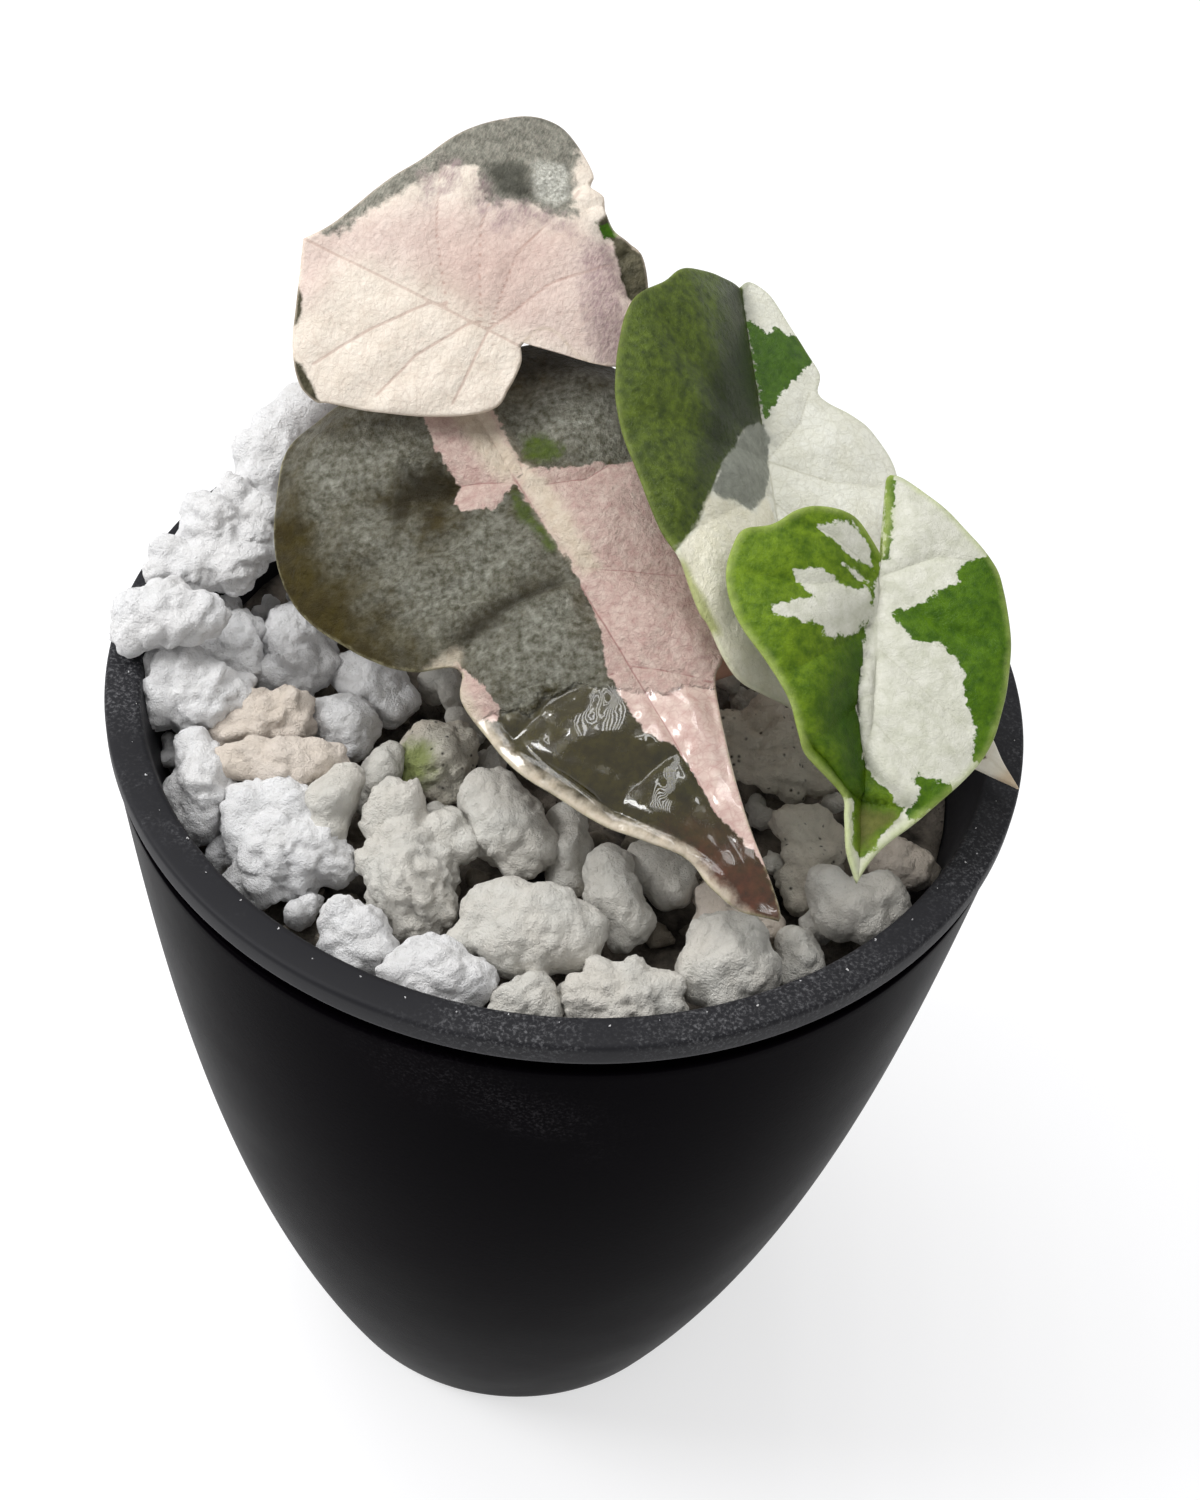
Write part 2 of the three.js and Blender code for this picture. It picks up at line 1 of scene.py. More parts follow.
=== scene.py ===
"""A young variegated Alocasia cuprea in coarse perlite, in a liner pot inside an outer pot.

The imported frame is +Z up, with its origin at the middle of the outer pot's foot. Sizes in this
file are millimetres, and become metres where a mesh, a light or the camera is made.
"""

import json
import logging
import math
from collections.abc import Sequence
from dataclasses import dataclass, field
from enum import Enum

import bmesh
import bpy
import numpy as np
from mathutils import Matrix, Vector, noise

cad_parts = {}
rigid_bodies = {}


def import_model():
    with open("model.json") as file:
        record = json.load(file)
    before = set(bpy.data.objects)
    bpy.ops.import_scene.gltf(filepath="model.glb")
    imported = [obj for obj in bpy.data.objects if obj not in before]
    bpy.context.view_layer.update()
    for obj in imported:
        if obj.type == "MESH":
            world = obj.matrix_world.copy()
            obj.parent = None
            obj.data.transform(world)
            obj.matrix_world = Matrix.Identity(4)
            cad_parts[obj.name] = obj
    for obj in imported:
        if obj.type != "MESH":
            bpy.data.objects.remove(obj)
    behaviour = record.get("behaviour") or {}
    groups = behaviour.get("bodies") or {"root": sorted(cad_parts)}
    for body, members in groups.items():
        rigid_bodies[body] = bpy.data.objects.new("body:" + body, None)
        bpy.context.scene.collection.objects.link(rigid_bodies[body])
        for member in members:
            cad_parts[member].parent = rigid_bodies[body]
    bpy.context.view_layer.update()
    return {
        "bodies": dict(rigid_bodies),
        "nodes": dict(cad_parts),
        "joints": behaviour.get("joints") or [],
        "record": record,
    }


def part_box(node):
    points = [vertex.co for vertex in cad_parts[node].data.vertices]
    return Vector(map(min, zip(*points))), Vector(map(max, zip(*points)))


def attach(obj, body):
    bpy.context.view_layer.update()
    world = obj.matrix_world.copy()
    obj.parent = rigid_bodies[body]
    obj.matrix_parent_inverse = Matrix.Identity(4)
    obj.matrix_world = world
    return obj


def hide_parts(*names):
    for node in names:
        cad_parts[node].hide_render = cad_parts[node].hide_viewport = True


MM = 0.001
BODY = "root"

Point2 = tuple[float, float]
Point3 = tuple[float, float, float]
Outline = tuple[Point2, ...]
Colour = tuple[float, float, float, float]

log = logging.getLogger("potted_plant")


class Slot(Enum):
    """The record's material slots that the pieces take."""

    OUTER_POT = "outer_pot"
    LINER_POT = "liner_pot"
    PERLITE = "perlite"
    STAINED = "perlite_stained"
    CORM = "corm"
    PETIOLE = "petiole"
    PINK = "leaf_pink"
    COPPER = "leaf_copper"
    DARK_GREEN = "leaf_dark_green"
    BRIGHT_GREEN = "leaf_bright_green"
    SMALL_WHITE = "leaf_small_white"


class Field(Enum):
    """What a blade's vertices know: how far, in mm, each lies inside a patch of colour."""

    PINK = "in_pink"
    CREAM = "in_cream"
    WHITE = "in_white"
    GREEN = "in_green"
    DARK = "in_dark"
    # silvery skin, painted lighter where lamps reflect: partly real, partly painted sheen
    SILVER = "in_silver"
    GREY = "in_grey"
    MOTTLE = "in_mottle"
    SHADE = "in_shade"
    TIP = "in_tip"
    WET = "in_wet"
    RIM = "in_rim"
    MIDRIB = "in_midrib"
    VEIN = "in_vein"


def colour(code: str) -> Colour:
    """Turns a display colour code into the linear colour that a shader takes.

    Args:
        code: Six hexadecimal digits.

    Returns:
        Red, green, blue and an alpha of one.
    """
    channels = [int(code[i:i + 2], 16) / 255 for i in (0, 2, 4)]
    linear = [c / 12.92 if c <= 0.04045 else ((c + 0.055) / 1.055) ** 2.4 for c in channels]
    return (linear[0], linear[1], linear[2], 1.0)


class Graph:
    """Short calls that add nodes to one node tree."""

    def __init__(self, tree: bpy.types.NodeTree) -> None:
        """Keeps the tree that the calls add to."""
        self.tree = tree

    def add(self, kind: str, **settings: object) -> bpy.types.Node:
        """Adds a node.

        Args:
            kind: Blender's name of the node type.
            **settings: Properties of the node.

        Returns:
            The new node.
        """
        node = self.tree.nodes.new(kind)
        for name, value in settings.items():
            setattr(node, name, value)
        return node

    def feed(self, socket: bpy.types.NodeSocket, value: object) -> None:
        """Links a socket to an output, or sets its own value.

        Args:
            socket: The input to feed.
            value: An output socket, a number, a vector or a colour.
        """
        if isinstance(value, bpy.types.NodeSocket):
            self.tree.links.new(value, socket)
        else:
            socket.default_value = value

    def math(self, operation: str, first: object,
             second: object = 0.0) -> bpy.types.NodeSocket:
        """Adds a Math node.

        Args:
            operation: Blender's name of the operation.
            first: First value.
            second: Second value.

        Returns:
            The result.
        """
        node = self.add("ShaderNodeMath", operation=operation)
        self.feed(node.inputs[0], first)
        self.feed(node.inputs[1], second)
        return node.outputs[0]

    def mix(self, share: object, first: object, second: object) -> bpy.types.NodeSocket:
        """Mixes two colours.

        Args:
            share: How much of the second colour shows, from 0 to 1.
            first: First colour.
            second: Second colour.

        Returns:
            The mixed colour.
        """
        node = self.add("ShaderNodeMix", data_type="RGBA")
        self.feed(node.inputs[0], share)
        self.feed(node.inputs[6], first)
        self.feed(node.inputs[7], second)
        return node.outputs[2]

    def step(self, value: object, low: object, high: object) -> bpy.types.NodeSocket:
        """Rises smoothly from 0 to 1.

        Args:
            value: The value to map.
            low: Where the result is 0.
            high: Where the result is 1.

        Returns:
            The mapped value.
        """
        node = self.add("ShaderNodeMapRange", interpolation_type="SMOOTHSTEP")
        self.feed(node.inputs["Value"], value)
        self.feed(node.inputs["From Min"], low)
        self.feed(node.inputs["From Max"], high)
        return node.outputs["Result"]

    def blend(self, share: object, first: float, second: float) -> bpy.types.NodeSocket:
        """Goes from one number to another.

        Args:
            share: Where between them, from 0 to 1.
            first: Number at 0.
            second: Number at 1.

        Returns:
            The number between them.
        """
        node = self.add("ShaderNodeMapRange")
        self.feed(node.inputs["Value"], share)
        self.feed(node.inputs["To Min"], first)
        self.feed(node.inputs["To Max"], second)
        return node.outputs["Result"]

    def noise(self, vector: object, scale: object, detail: float = 4.0,
              roughness: float = 0.5) -> bpy.types.NodeSocket:
        """Adds a noise texture.

        Args:
            vector: Where it is read.
            scale: Features to a metre, roughly.
            detail: Octaves.
            roughness: Strength of each finer octave.

        Returns:
            The noise, about 0.5 in the middle.
        """
        node = self.add("ShaderNodeTexNoise")
        self.feed(node.inputs["Vector"], vector)
        self.feed(node.inputs["Scale"], scale)
        self.feed(node.inputs["Detail"], detail)
        self.feed(node.inputs["Roughness"], roughness)
        return node.outputs[0]

    def cells(self, vector: object, scale: object, feature: str) -> bpy.types.NodeSocket:
        """Adds a Voronoi texture.

        Args:
            vector: Where it is read.
            scale: Cells to a metre.
            feature: F1 for the distance to a cell's point, DISTANCE_TO_EDGE for its edge.

        Returns:
            The distance, as a share of a cell.
        """
        node = self.add("ShaderNodeTexVoronoi", feature=feature)
        self.feed(node.inputs["Vector"], vector)
        self.feed(node.inputs["Scale"], scale)
        return node.outputs["Distance"]

    def own(self, name: str) -> bpy.types.NodeSocket:
        """Reads a number that the mesh holds at each vertex."""
        return self.add("ShaderNodeAttribute", attribute_name=name).outputs["Fac"]

    def place(self) -> bpy.types.NodeSocket:
        """Gives the object's own coordinates, in metres."""
        return self.add("ShaderNodeTexCoord").outputs["Object"]

    def group(self, tree: bpy.types.NodeTree, **values: object) -> bpy.types.NodeSocket:
        """Places a node group.

        Args:
            tree: The group.
            **values: Its inputs, with an underscore for each blank in a name.

        Returns:
            The group's first output.
        """
        node = self.add("ShaderNodeGroup", node_tree=tree)
        for name, value in values.items():
            self.feed(node.inputs[name.replace("_", " ")], value)
        return node.outputs[0]


class Effects:
    """Shader node groups that several materials place with their own values."""

    def __init__(self) -> None:
        """Builds every group once."""
        self.patch = self._patch()
        self.mottle = self._mottle()
        self.net = self._net()
        self.specks = self._specks()
        self.streaks = self._streaks()
        self.relief = self._relief()

    @staticmethod
    def _open(name: str, inputs: dict[str, float],
              output: str) -> tuple[Graph, bpy.types.Node, bpy.types.Node]:
        """Starts a group.

        Args:
            name: The group's name.
            inputs: Its number inputs and their defaults.
            output: Name of its one output.

        Returns:
            The graph, its input node and its output node.
        """
        tree = bpy.data.node_groups.new(name, "ShaderNodeTree")
        for key, value in inputs.items():
            socket = tree.interface.new_socket(key, in_out="INPUT", socket_type="NodeSocketFloat")
            socket.default_value = value
        tree.interface.new_socket(output, in_out="OUTPUT", socket_type="NodeSocketFloat")
        graph = Graph(tree)
        return graph, graph.add("NodeGroupInput"), graph.add("NodeGroupOutput")

    def _patch(self) -> bpy.types.NodeTree:
        """A patch of colour whose border is ragged.

        Returns:
            The group. Distance, Ragged and Soft are in mm, Grain in features to a metre.
        """
        inputs = {"Distance": 0.0, "Ragged": 0.5, "Grain": 500.0, "Soft": 0.2}
        graph, inlet, outlet = self._open("Ragged Patch", inputs, "Mask")
        wander = graph.noise(graph.place(), inlet.outputs["Grain"], 5.0, 0.6)
        wander = graph.math("MULTIPLY", graph.math("SUBTRACT", wander, 0.5), 4.0)
        wander = graph.math("MULTIPLY", wander, inlet.outputs["Ragged"])
        reach = graph.math("ADD", wander, inlet.outputs["Distance"])
        low = graph.math("MULTIPLY", inlet.outputs["Soft"], -1.0)
        graph.feed(outlet.inputs[0], graph.step(reach, low, inlet.outputs["Soft"]))
        return graph.tree

    def _mottle(self) -> bpy.types.NodeTree:
        """Soft blotches.

        Returns:
            The group. Scale is in blotches to a metre, Contrast from 0 to 1.
        """
        inputs = {"Scale": 400.0, "Contrast": 0.5}
        graph, inlet, outlet = self._open("Mottle", inputs, "Value")
        blotch = graph.noise(graph.place(), inlet.outputs["Scale"], 6.0, 0.6)
        spread = graph.math("MULTIPLY", graph.math("SUBTRACT", 1.1, inlet.outputs["Contrast"]), 0.4)
        low = graph.math("SUBTRACT", 0.5, spread)
        high = graph.math("ADD", 0.5, spread)
        graph.feed(outlet.inputs[0], graph.step(blotch, low, high))
        return graph.tree

    def _net(self) -> bpy.types.NodeTree:
        """The net of fine veins of a blade, read on its own flat map.

        Returns:
            The group. Cells is in cells to a metre, Width a share of a cell.
        """
        inputs = {"Cells": 400.0, "Width": 0.08, "Stretch": 1.0}
        graph, inlet, outlet = self._open("Vein Net", inputs, "Lines")
        flat = graph.add("ShaderNodeUVMap", uv_map=Blade.FLAT_MAP).outputs[0]
        bend = graph.add("ShaderNodeTexNoise")
        graph.feed(bend.inputs["Vector"], flat)
        graph.feed(bend.inputs["Scale"], 300.0)
        shift = graph.add("ShaderNodeVectorMath", operation="MULTIPLY_ADD")
        graph.feed(shift.inputs[0], bend.outputs["Color"])
        graph.feed(shift.inputs[1], (0.0016, 0.0016, 0.0))
        graph.feed(shift.inputs[2], flat)
        squeeze = graph.add("ShaderNodeCombineXYZ")
        graph.feed(squeeze.inputs[0], 1.0)
        graph.feed(squeeze.inputs[1], inlet.outputs["Stretch"])
        drawn = graph.add("ShaderNodeVectorMath", operation="MULTIPLY")
        graph.feed(drawn.inputs[0], shift.outputs[0])
        graph.feed(drawn.inputs[1], squeeze.outputs[0])
        edge = graph.cells(drawn.outputs[0], inlet.outputs["Cells"], "DISTANCE_TO_EDGE")
        line = graph.step(edge, inlet.outputs["Width"], 0.0)
        graph.feed(outlet.inputs[0], line)
        return graph.tree

    def _streaks(self) -> bpy.types.NodeTree:
        """Short strokes across the midrib, as a brushed sheen has, on the blade's flat map.

        Returns:
            The group. Scale is in strokes to a metre.
        """
        graph, inlet, outlet = self._open("Streaks", {"Scale": 2600.0}, "Value")
        flat = graph.add("ShaderNodeUVMap", uv_map=Blade.FLAT_MAP).outputs[0]
        drawn = graph.add("ShaderNodeVectorMath", operation="MULTIPLY")
        graph.feed(drawn.inputs[0], flat)
        graph.feed(drawn.inputs[1], (1.0, 0.28, 1.0))
        graph.feed(outlet.inputs[0], graph.noise(drawn.outputs[0], inlet.outputs["Scale"], 3.0,
                                                 0.65))
        return graph.tree

    def _specks(self) -> bpy.types.NodeTree:
        """Small scattered specks, such as dust or dirt.

        Returns:
            The group. Cells is in specks to a metre, Size a share of a cell, Share how many show.
        """
        inputs = {"Cells": 700.0, "Size": 0.25, "Share": 0.5}
        graph, inlet, outlet = self._open("Specks", inputs, "Mask")
        place = graph.place()
        point = graph.cells(place, inlet.outputs["Cells"], "F1")
        spot = graph.step(point, inlet.outputs["Size"], 0.0)
        crowd = graph.noise(place, graph.math("MULTIPLY", inlet.outputs["Cells"], 0.23), 3.0, 0.7)
        limit = graph.math("SUBTRACT", 0.75, graph.math("MULTIPLY", inlet.outputs["Share"], 0.5))
        shown = graph.math("GREATER_THAN", crowd, limit)
        graph.feed(outlet.inputs[0], graph.math("MULTIPLY", spot, shown))
        return graph.tree

    def _relief(self) -> bpy.types.NodeTree:
        """Height of a fine living or mineral surface.

        Returns:
            The group. Scale is in features to a metre, Coarse and Fine are heights in mm.
        """
        inputs = {"Scale": 1000.0, "Coarse": 0.1, "Fine": 0.05}
        graph, inlet, outlet = self._open("Relief", inputs, "Height")
        place = graph.place()
        coarse = graph.noise(place, inlet.outputs["Scale"], 3.0, 0.5)
        fine = graph.noise(place, graph.math("MULTIPLY", inlet.outputs["Scale"], 4.1), 4.0, 0.65)
        height = graph.math("ADD", graph.math("MULTIPLY", coarse, inlet.outputs["Coarse"]),
                            graph.math("MULTIPLY", fine, inlet.outputs["Fine"]))
        graph.feed(outlet.inputs[0], height)
        return graph.tree


class Surface:
    """A material under construction: a Principled shader and the graph that feeds it."""

    def __init__(self, name: str, roughness: float, specular: float = 0.5,
                 coat_roughness: float = 0.03) -> None:
        """Starts the material.

        Args:
            name: The material's name.
            roughness: Roughness, until something else feeds it.
            specular: Strength of the plain reflection.
            coat_roughness: Roughness of the coat, where there is one.
        """
        self.material = bpy.data.materials.new(name)
        self.material.use_nodes = True
        self.graph = Graph(self.material.node_tree)
        self.shader = self.material.node_tree.nodes["Principled BSDF"]
        self.shader.inputs["Roughness"].default_value = roughness
        self.shader.inputs["Specular IOR Level"].default_value = specular
        self.shader.inputs["Coat Roughness"].default_value = coat_roughness

    def put(self, name: str, value: object) -> None:
        """Feeds one input of the shader."""
        self.graph.feed(self.shader.inputs[name], value)

    def bump(self, height: bpy.types.NodeSocket) -> None:
        """Raises the surface by a height in mm.

        Args:
            height: The height.
        """
        node = self.graph.add("ShaderNodeBump")
        node.inputs["Strength"].default_value = 1.0
        node.inputs["Distance"].default_value = MM
        self.graph.feed(node.inputs["Height"], height)
        self.put("Normal", node.outputs[0])


@dataclass(frozen=True)
class PlasticFinish:
    """Moulded plastic with dust on it."""

    name: str
    tone: str
    worn_tone: str
    roughness: float
    specular: float
    dust_tone: str
    dust_cells: float
    dust_size: float
    dust_share: float
    film: float

    BLOTCH_SCALE = 60.0
    SMEAR_SCALE = 38.0
    GRIT_SCALE = 2600.0
    GRIT_SPAN = (0.45, 0.8)
    WORN_ROUGHNESS = 1.25
    PORE_SCALE = 1500.0

    def build(self, effects: Effects) -> bpy.types.Material:
        """Makes the material.

        Args:
            effects: The shared node groups.

        Returns:
            The material.
        """
        surface = Surface(self.name, self.roughness, self.specular)
        graph = surface.graph
        blotch = graph.group(effects.mottle, Scale=self.BLOTCH_SCALE, Contrast=0.3)
        tone = graph.mix(blotch, colour(self.tone), colour(self.worn_tone))
        specks = graph.group(effects.specks, Cells=self.dust_cells, Size=self.dust_size,
                             Share=self.dust_share)
        smear = graph.group(effects.mottle, Scale=self.SMEAR_SCALE, Contrast=0.85)
        film = graph.math("MULTIPLY", graph.own(DUST_FIELD), smear)
        grit = graph.noise(graph.place(), self.GRIT_SCALE, 3.0, 0.7)
        film = graph.math("MULTIPLY", film, graph.step(grit, *self.GRIT_SPAN))
        film = graph.math("MULTIPLY", film, self.film)
        dust = graph.math("MAXIMUM", specks, film)
        surface.put("Base Color", graph.mix(dust, tone, colour(self.dust_tone)))
        rough = graph.blend(blotch, self.roughness, self.roughness * self.WORN_ROUGHNESS)
        surface.put("Roughness", graph.math("MAXIMUM", rough, dust))
        surface.bump(graph.group(effects.relief, Scale=self.PORE_SCALE, Coarse=0.012,
                                 Fine=0.01))
        return surface.material


@dataclass(frozen=True)
class PerliteFinish:
    """Expanded perlite, white to beige, with specks of dirt and green algae on some grains.

    Its creases are darkened with painted shade.
    """

    name: str
    tone: str
    # colour of the painted shade deep in the creases
    crease_shade_tone: str
    beige: float = 0.15
    dirt_share: float = 0.12
    dirt_size: float = 0.22
    algae: tuple[tuple[Point3, float], ...] = ()

    BEIGE_TONE = "DCCFBF"
    DIRT_TONE = "2A251C"
    ALGAE_TONE = "7E8F2E"
    BLOTCH_SCALE = 130.0
    DIRT_CELLS = 900.0
    PORE_SCALE = 1100.0
    ALGAE_SCALE = 450.0
    ALGAE_OUTER = 1.7
    ALGAE_INNER = 0.9
    ALGAE_COVER = 0.8

    def build(self, effects: Effects) -> bpy.types.Material:
        """Makes the material.

        Args:
            effects: The shared node groups.

        Returns:
            The material.
        """
        surface = Surface(self.name, 0.88, 0.25)
        graph = surface.graph
        blotch = graph.group(effects.mottle, Scale=self.BLOTCH_SCALE, Contrast=0.6)
        warm = graph.math("MULTIPLY", blotch, self.beige)
        tone = graph.mix(warm, colour(self.tone), colour(self.BEIGE_TONE))
        # painted shade: each grain darkens towards its crease tone deep in its folds
        crease = graph.own(CREASE_SHADE_FIELD)
        tone = graph.mix(crease, tone, colour(self.crease_shade_tone))
        for middle, radius in self.algae:
            tone = graph.mix(self._near(graph, middle, radius), tone, colour(self.ALGAE_TONE))
        dirt = graph.group(effects.specks, Cells=self.DIRT_CELLS, Size=self.dirt_size,
                           Share=self.dirt_share)
        surface.put("Base Color", graph.mix(dirt, tone, colour(self.DIRT_TONE)))
        surface.bump(graph.group(effects.relief, Scale=self.PORE_SCALE, Coarse=0.6,
                                 Fine=0.36))
        return surface.material

    def _near(self, graph: Graph, middle: Point3, radius: float) -> bpy.types.NodeSocket:
        """Masks what lies near a point.

        Args:
            graph: The material's graph.
            middle: The point, in mm.
            radius: How far the mask reaches, in mm.

        Returns:
            The mask.
        """
        node = graph.add("ShaderNodeVectorMath", operation="DISTANCE")
        place = graph.place()
        graph.feed(node.inputs[0], place)
        graph.feed(node.inputs[1], tuple(value * MM for value in middle))
        ragged = graph.math("MULTIPLY", graph.noise(place, self.ALGAE_SCALE, 4.0, 0.6),
                            radius * MM)
        reach = graph.math("ADD", node.outputs["Value"], ragged)
        near = graph.step(reach, radius * MM * self.ALGAE_OUTER, radius * MM * self.ALGAE_INNER)
        return graph.math("MULTIPLY", near, self.ALGAE_COVER)


@dataclass(frozen=True)
class FibreFinish:
    """Dry or living plant fibre: the corm, the roots and the petioles."""

    name: str
    tone: str
    dark_tone: str
    roughness: float
    fibre_scale: float = 500.0
    fibre_height: float = 0.1
    coat: float = 0.0

    BLOTCH_SHARE = 0.4
    FINE_SHARE = 0.4

    def build(self, effects: Effects) -> bpy.types.Material:
        """Makes the material.

        Args:
            effects: The shared node groups.

        Returns:
            The material.
        """
        surface = Surface(self.name, self.roughness, 0.4, 0.2)
        graph = surface.graph
        blotch = graph.group(effects.mottle, Scale=self.fibre_scale * self.BLOTCH_SHARE,
                             Contrast=0.5)
        surface.put("Base Color", graph.mix(blotch, colour(self.dark_tone), colour(self.tone)))
        surface.put("Coat Weight", self.coat)
        surface.bump(graph.group(effects.relief, Scale=self.fibre_scale,
                                 Coarse=self.fibre_height,
                                 Fine=self.fibre_height * self.FINE_SHARE))
        return surface.material


@dataclass(frozen=True)
class Layer:
    """One colour of a blade, which lies over those before it.

    reach is how far it goes beyond its patch. reach, ragged, soft, grain and mottle are in mm.
    cover is how much of it shows at most, and broken how much of it fine streaks take away.
    """

    field: Field
    light: str
    dark: str
    reach: float = 0.0
    ragged: float = 0.4
    soft: float = 0.12
    grain: float = 2.0
    mottle: float = 2.5
    cover: float = 1.0
    broken: float = 0.0
    metal: float = 0.0
    roughness: float = 0.45
    veins: float = 0.0


@dataclass(frozen=True)
class BladeFinish:
    """The skin of one blade: a ground colour, layers of colour over it, veins, sheen and wet."""

    name: str
    ground: Layer
    layers: tuple[Layer, ...]
    vein_tone: str
    vein_cells: float = 420.0
    vein_width: float = 0.07
    coarse: float = 0.10
    fine: float = 0.05
    relief_scale: float = 1300.0
    specular: float = 0.16
    net: float = 0.3
    wet: bool = False

    WIDE_CELLS = 0.45
    WIDE_WIDTH = 0.4
    MAIN_VEIN = (-0.3, -0.05)
    MAIN_COVER = 0.7
    VEIN_DEPTH = 0.03
    FILM_SCALE = 350.0
    FILM_COVER = 0.93
    DROP_CELLS = 330.0
    DROP_HEIGHT = 0.22
    WET_ROUGHNESS = 0.12
    STREAK_SCALE = 4200.0
    STREAK_SPAN = (0.36, 0.62)

    def build(self, effects: Effects) -> bpy.types.Material:
        """Makes the material.

        Args:
            effects: The shared node groups.

        Returns:
            The material.
        """
        surface = Surface(self.name, self.ground.roughness, self.specular)
        graph = surface.graph
        tone = self._tone(graph, effects, self.ground)
        metal: object = self.ground.metal
        rough: object = self.ground.roughness
        veined: object = self.ground.veins
        for layer in self.layers:
            mask = self._mask(graph, effects, layer)
            tone = graph.mix(mask, tone, self._tone(graph, effects, layer))
            metal = self._over(graph, mask, metal, layer.metal)
            rough = self._over(graph, mask, rough, layer.roughness)
            veined = self._over(graph, mask, veined, layer.veins)
        net = graph.group(effects.net, Cells=self.vein_cells, Width=self.vein_width, Stretch=0.7)
        wide_net = graph.group(effects.net, Cells=self.vein_cells * self.WIDE_CELLS,
                               Width=self.vein_width * self.WIDE_WIDTH, Stretch=0.8)
        fine = graph.math("MULTIPLY", graph.math("MAXIMUM", net, wide_net), self.net)
        main = graph.step(graph.own(Field.VEIN.value), *self.MAIN_VEIN)
        lines = graph.math("MAXIMUM", fine, graph.math("MULTIPLY", main, self.MAIN_COVER))
        tone = graph.mix(graph.math("MULTIPLY", lines, veined), tone, colour(self.vein_tone))
        height = graph.group(effects.relief, Scale=self.relief_scale, Coarse=self.coarse,
                             Fine=self.fine)
        height = graph.math("SUBTRACT", height, graph.math("MULTIPLY", lines, self.VEIN_DEPTH))
        if self.wet:
            film = graph.group(effects.patch, Distance=graph.own(Field.WET.value), Ragged=0.8,
                               Grain=self.FILM_SCALE, Soft=0.3)
            dry = graph.math("SUBTRACT", 1.0, graph.math("MULTIPLY", film, self.FILM_COVER))
            drops = graph.group(effects.specks, Cells=self.DROP_CELLS, Size=0.5, Share=0.5)
            height = graph.math("MULTIPLY", height, dry)
            drops = graph.math("MULTIPLY", drops, film)
            height = graph.math("ADD", height, graph.math("MULTIPLY", drops, self.DROP_HEIGHT))
            rough = self._over(graph, film, rough, self.WET_ROUGHNESS)
            surface.put("Coat Weight", film)
        surface.put("Base Color", tone)
        surface.put("Metallic", metal)
        surface.put("Roughness", rough)
        surface.bump(height)
        return surface.material

    @staticmethod
    def _over(graph: Graph, mask: object, below: object,
              value: float) -> bpy.types.NodeSocket:
        """Lays one number over another where a mask says.

        Args:
            graph: The material's graph.
            mask: Where the new number shows.
            below: The number below, or a socket that gives it.
            value: The new number.

        Returns:
            The result.
        """
        node = graph.add("ShaderNodeMix", data_type="FLOAT")
        graph.feed(node.inputs[0], mask)
        graph.feed(node.inputs[2], below)
        graph.feed(node.inputs[3], value)
        return node.outputs[0]

    @staticmethod
    def _tone(graph: Graph, effects: Effects, layer: Layer) -> bpy.types.NodeSocket:
        """Gives a layer's colour, mottled between its light and its dark tone.

        Args:
            graph: The material's graph.
            effects: The shared node groups.
            layer: The layer.

        Returns:
            The colour.
        """
        blotch = graph.group(effects.mottle, Scale=1 / (layer.mottle * MM), Contrast=0.3)
        return graph.mix(blotch, colour(layer.dark), colour(layer.light))

    @staticmethod
    def _mask(graph: Graph, effects: Effects, layer: Layer) -> bpy.types.NodeSocket:
        """Says where a layer shows.

        Args:
            graph: The material's graph.
            effects: The shared node groups.
            layer: The layer.

        Returns:
            The mask.
        """
        distance = graph.math("ADD", graph.own(layer.field.value), layer.reach)
        mask = graph.group(effects.patch, Distance=distance, Ragged=layer.ragged,
                           Grain=1 / (layer.grain * MM), Soft=layer.soft)
        if layer.broken > 0:
            grit = graph.group(effects.streaks, Scale=BladeFinish.STREAK_SCALE)
            kept = graph.step(grit, *BladeFinish.STREAK_SPAN)
            kept = graph.blend(kept, 1 - layer.broken, 1.0)
            mask = graph.math("MULTIPLY", mask, kept)
        if layer.cover < 1:
            mask = graph.math("MULTIPLY", mask, layer.cover)
        return mask


DUST_FIELD = "dust"
# how much painted shade each vertex of perlite takes in its creases
CREASE_SHADE_FIELD = "crease"
SAME_POINT = 1e-4
ROUNDING_STEPS = 4


def make_object(name: str, vertices: np.ndarray, faces: Sequence[Sequence[int]],
                material: bpy.types.Material) -> bpy.types.Object:
    """Makes a smooth mesh object from points in mm.

    Args:
        name: The object's name.
        vertices: One row of x, y, z for each vertex.
        faces: Vertex numbers of each face.
        material: The material.

    Returns:
        The object, at the origin.
    """
    mesh = bpy.data.meshes.new(name)
    mesh.from_pydata((np.asarray(vertices) * MM).tolist(), [], faces)
    mesh.update()
    mesh.shade_smooth()
    mesh.materials.append(material)
    made = bpy.data.objects.new(name, mesh)
    bpy.context.scene.collection.objects.link(made)
    return made


def set_field(mesh: bpy.types.Mesh, name: str, values: np.ndarray) -> None:
    """Stores one number for each vertex.

    Args:
        mesh: The mesh.
        name: Name of the attribute.
        values: The numbers.
    """
    store = mesh.attributes.new(name, "FLOAT", "POINT")
    store.data.foreach_set("value", np.asarray(values, dtype=np.float32))


def outward(made: bpy.types.Object) -> None:
    """Merges the doubled points of a closed mesh and turns its faces outward.

    Args:
        made: The object.
    """
    shell = bmesh.new()
    shell.from_mesh(made.data)
    bmesh.ops.remove_doubles(shell, verts=shell.verts, dist=SAME_POINT * MM)
    bmesh.ops.recalc_face_normals(shell, faces=shell.faces)
    shell.to_mesh(made.data)
    shell.free()
    made.data.shade_smooth()


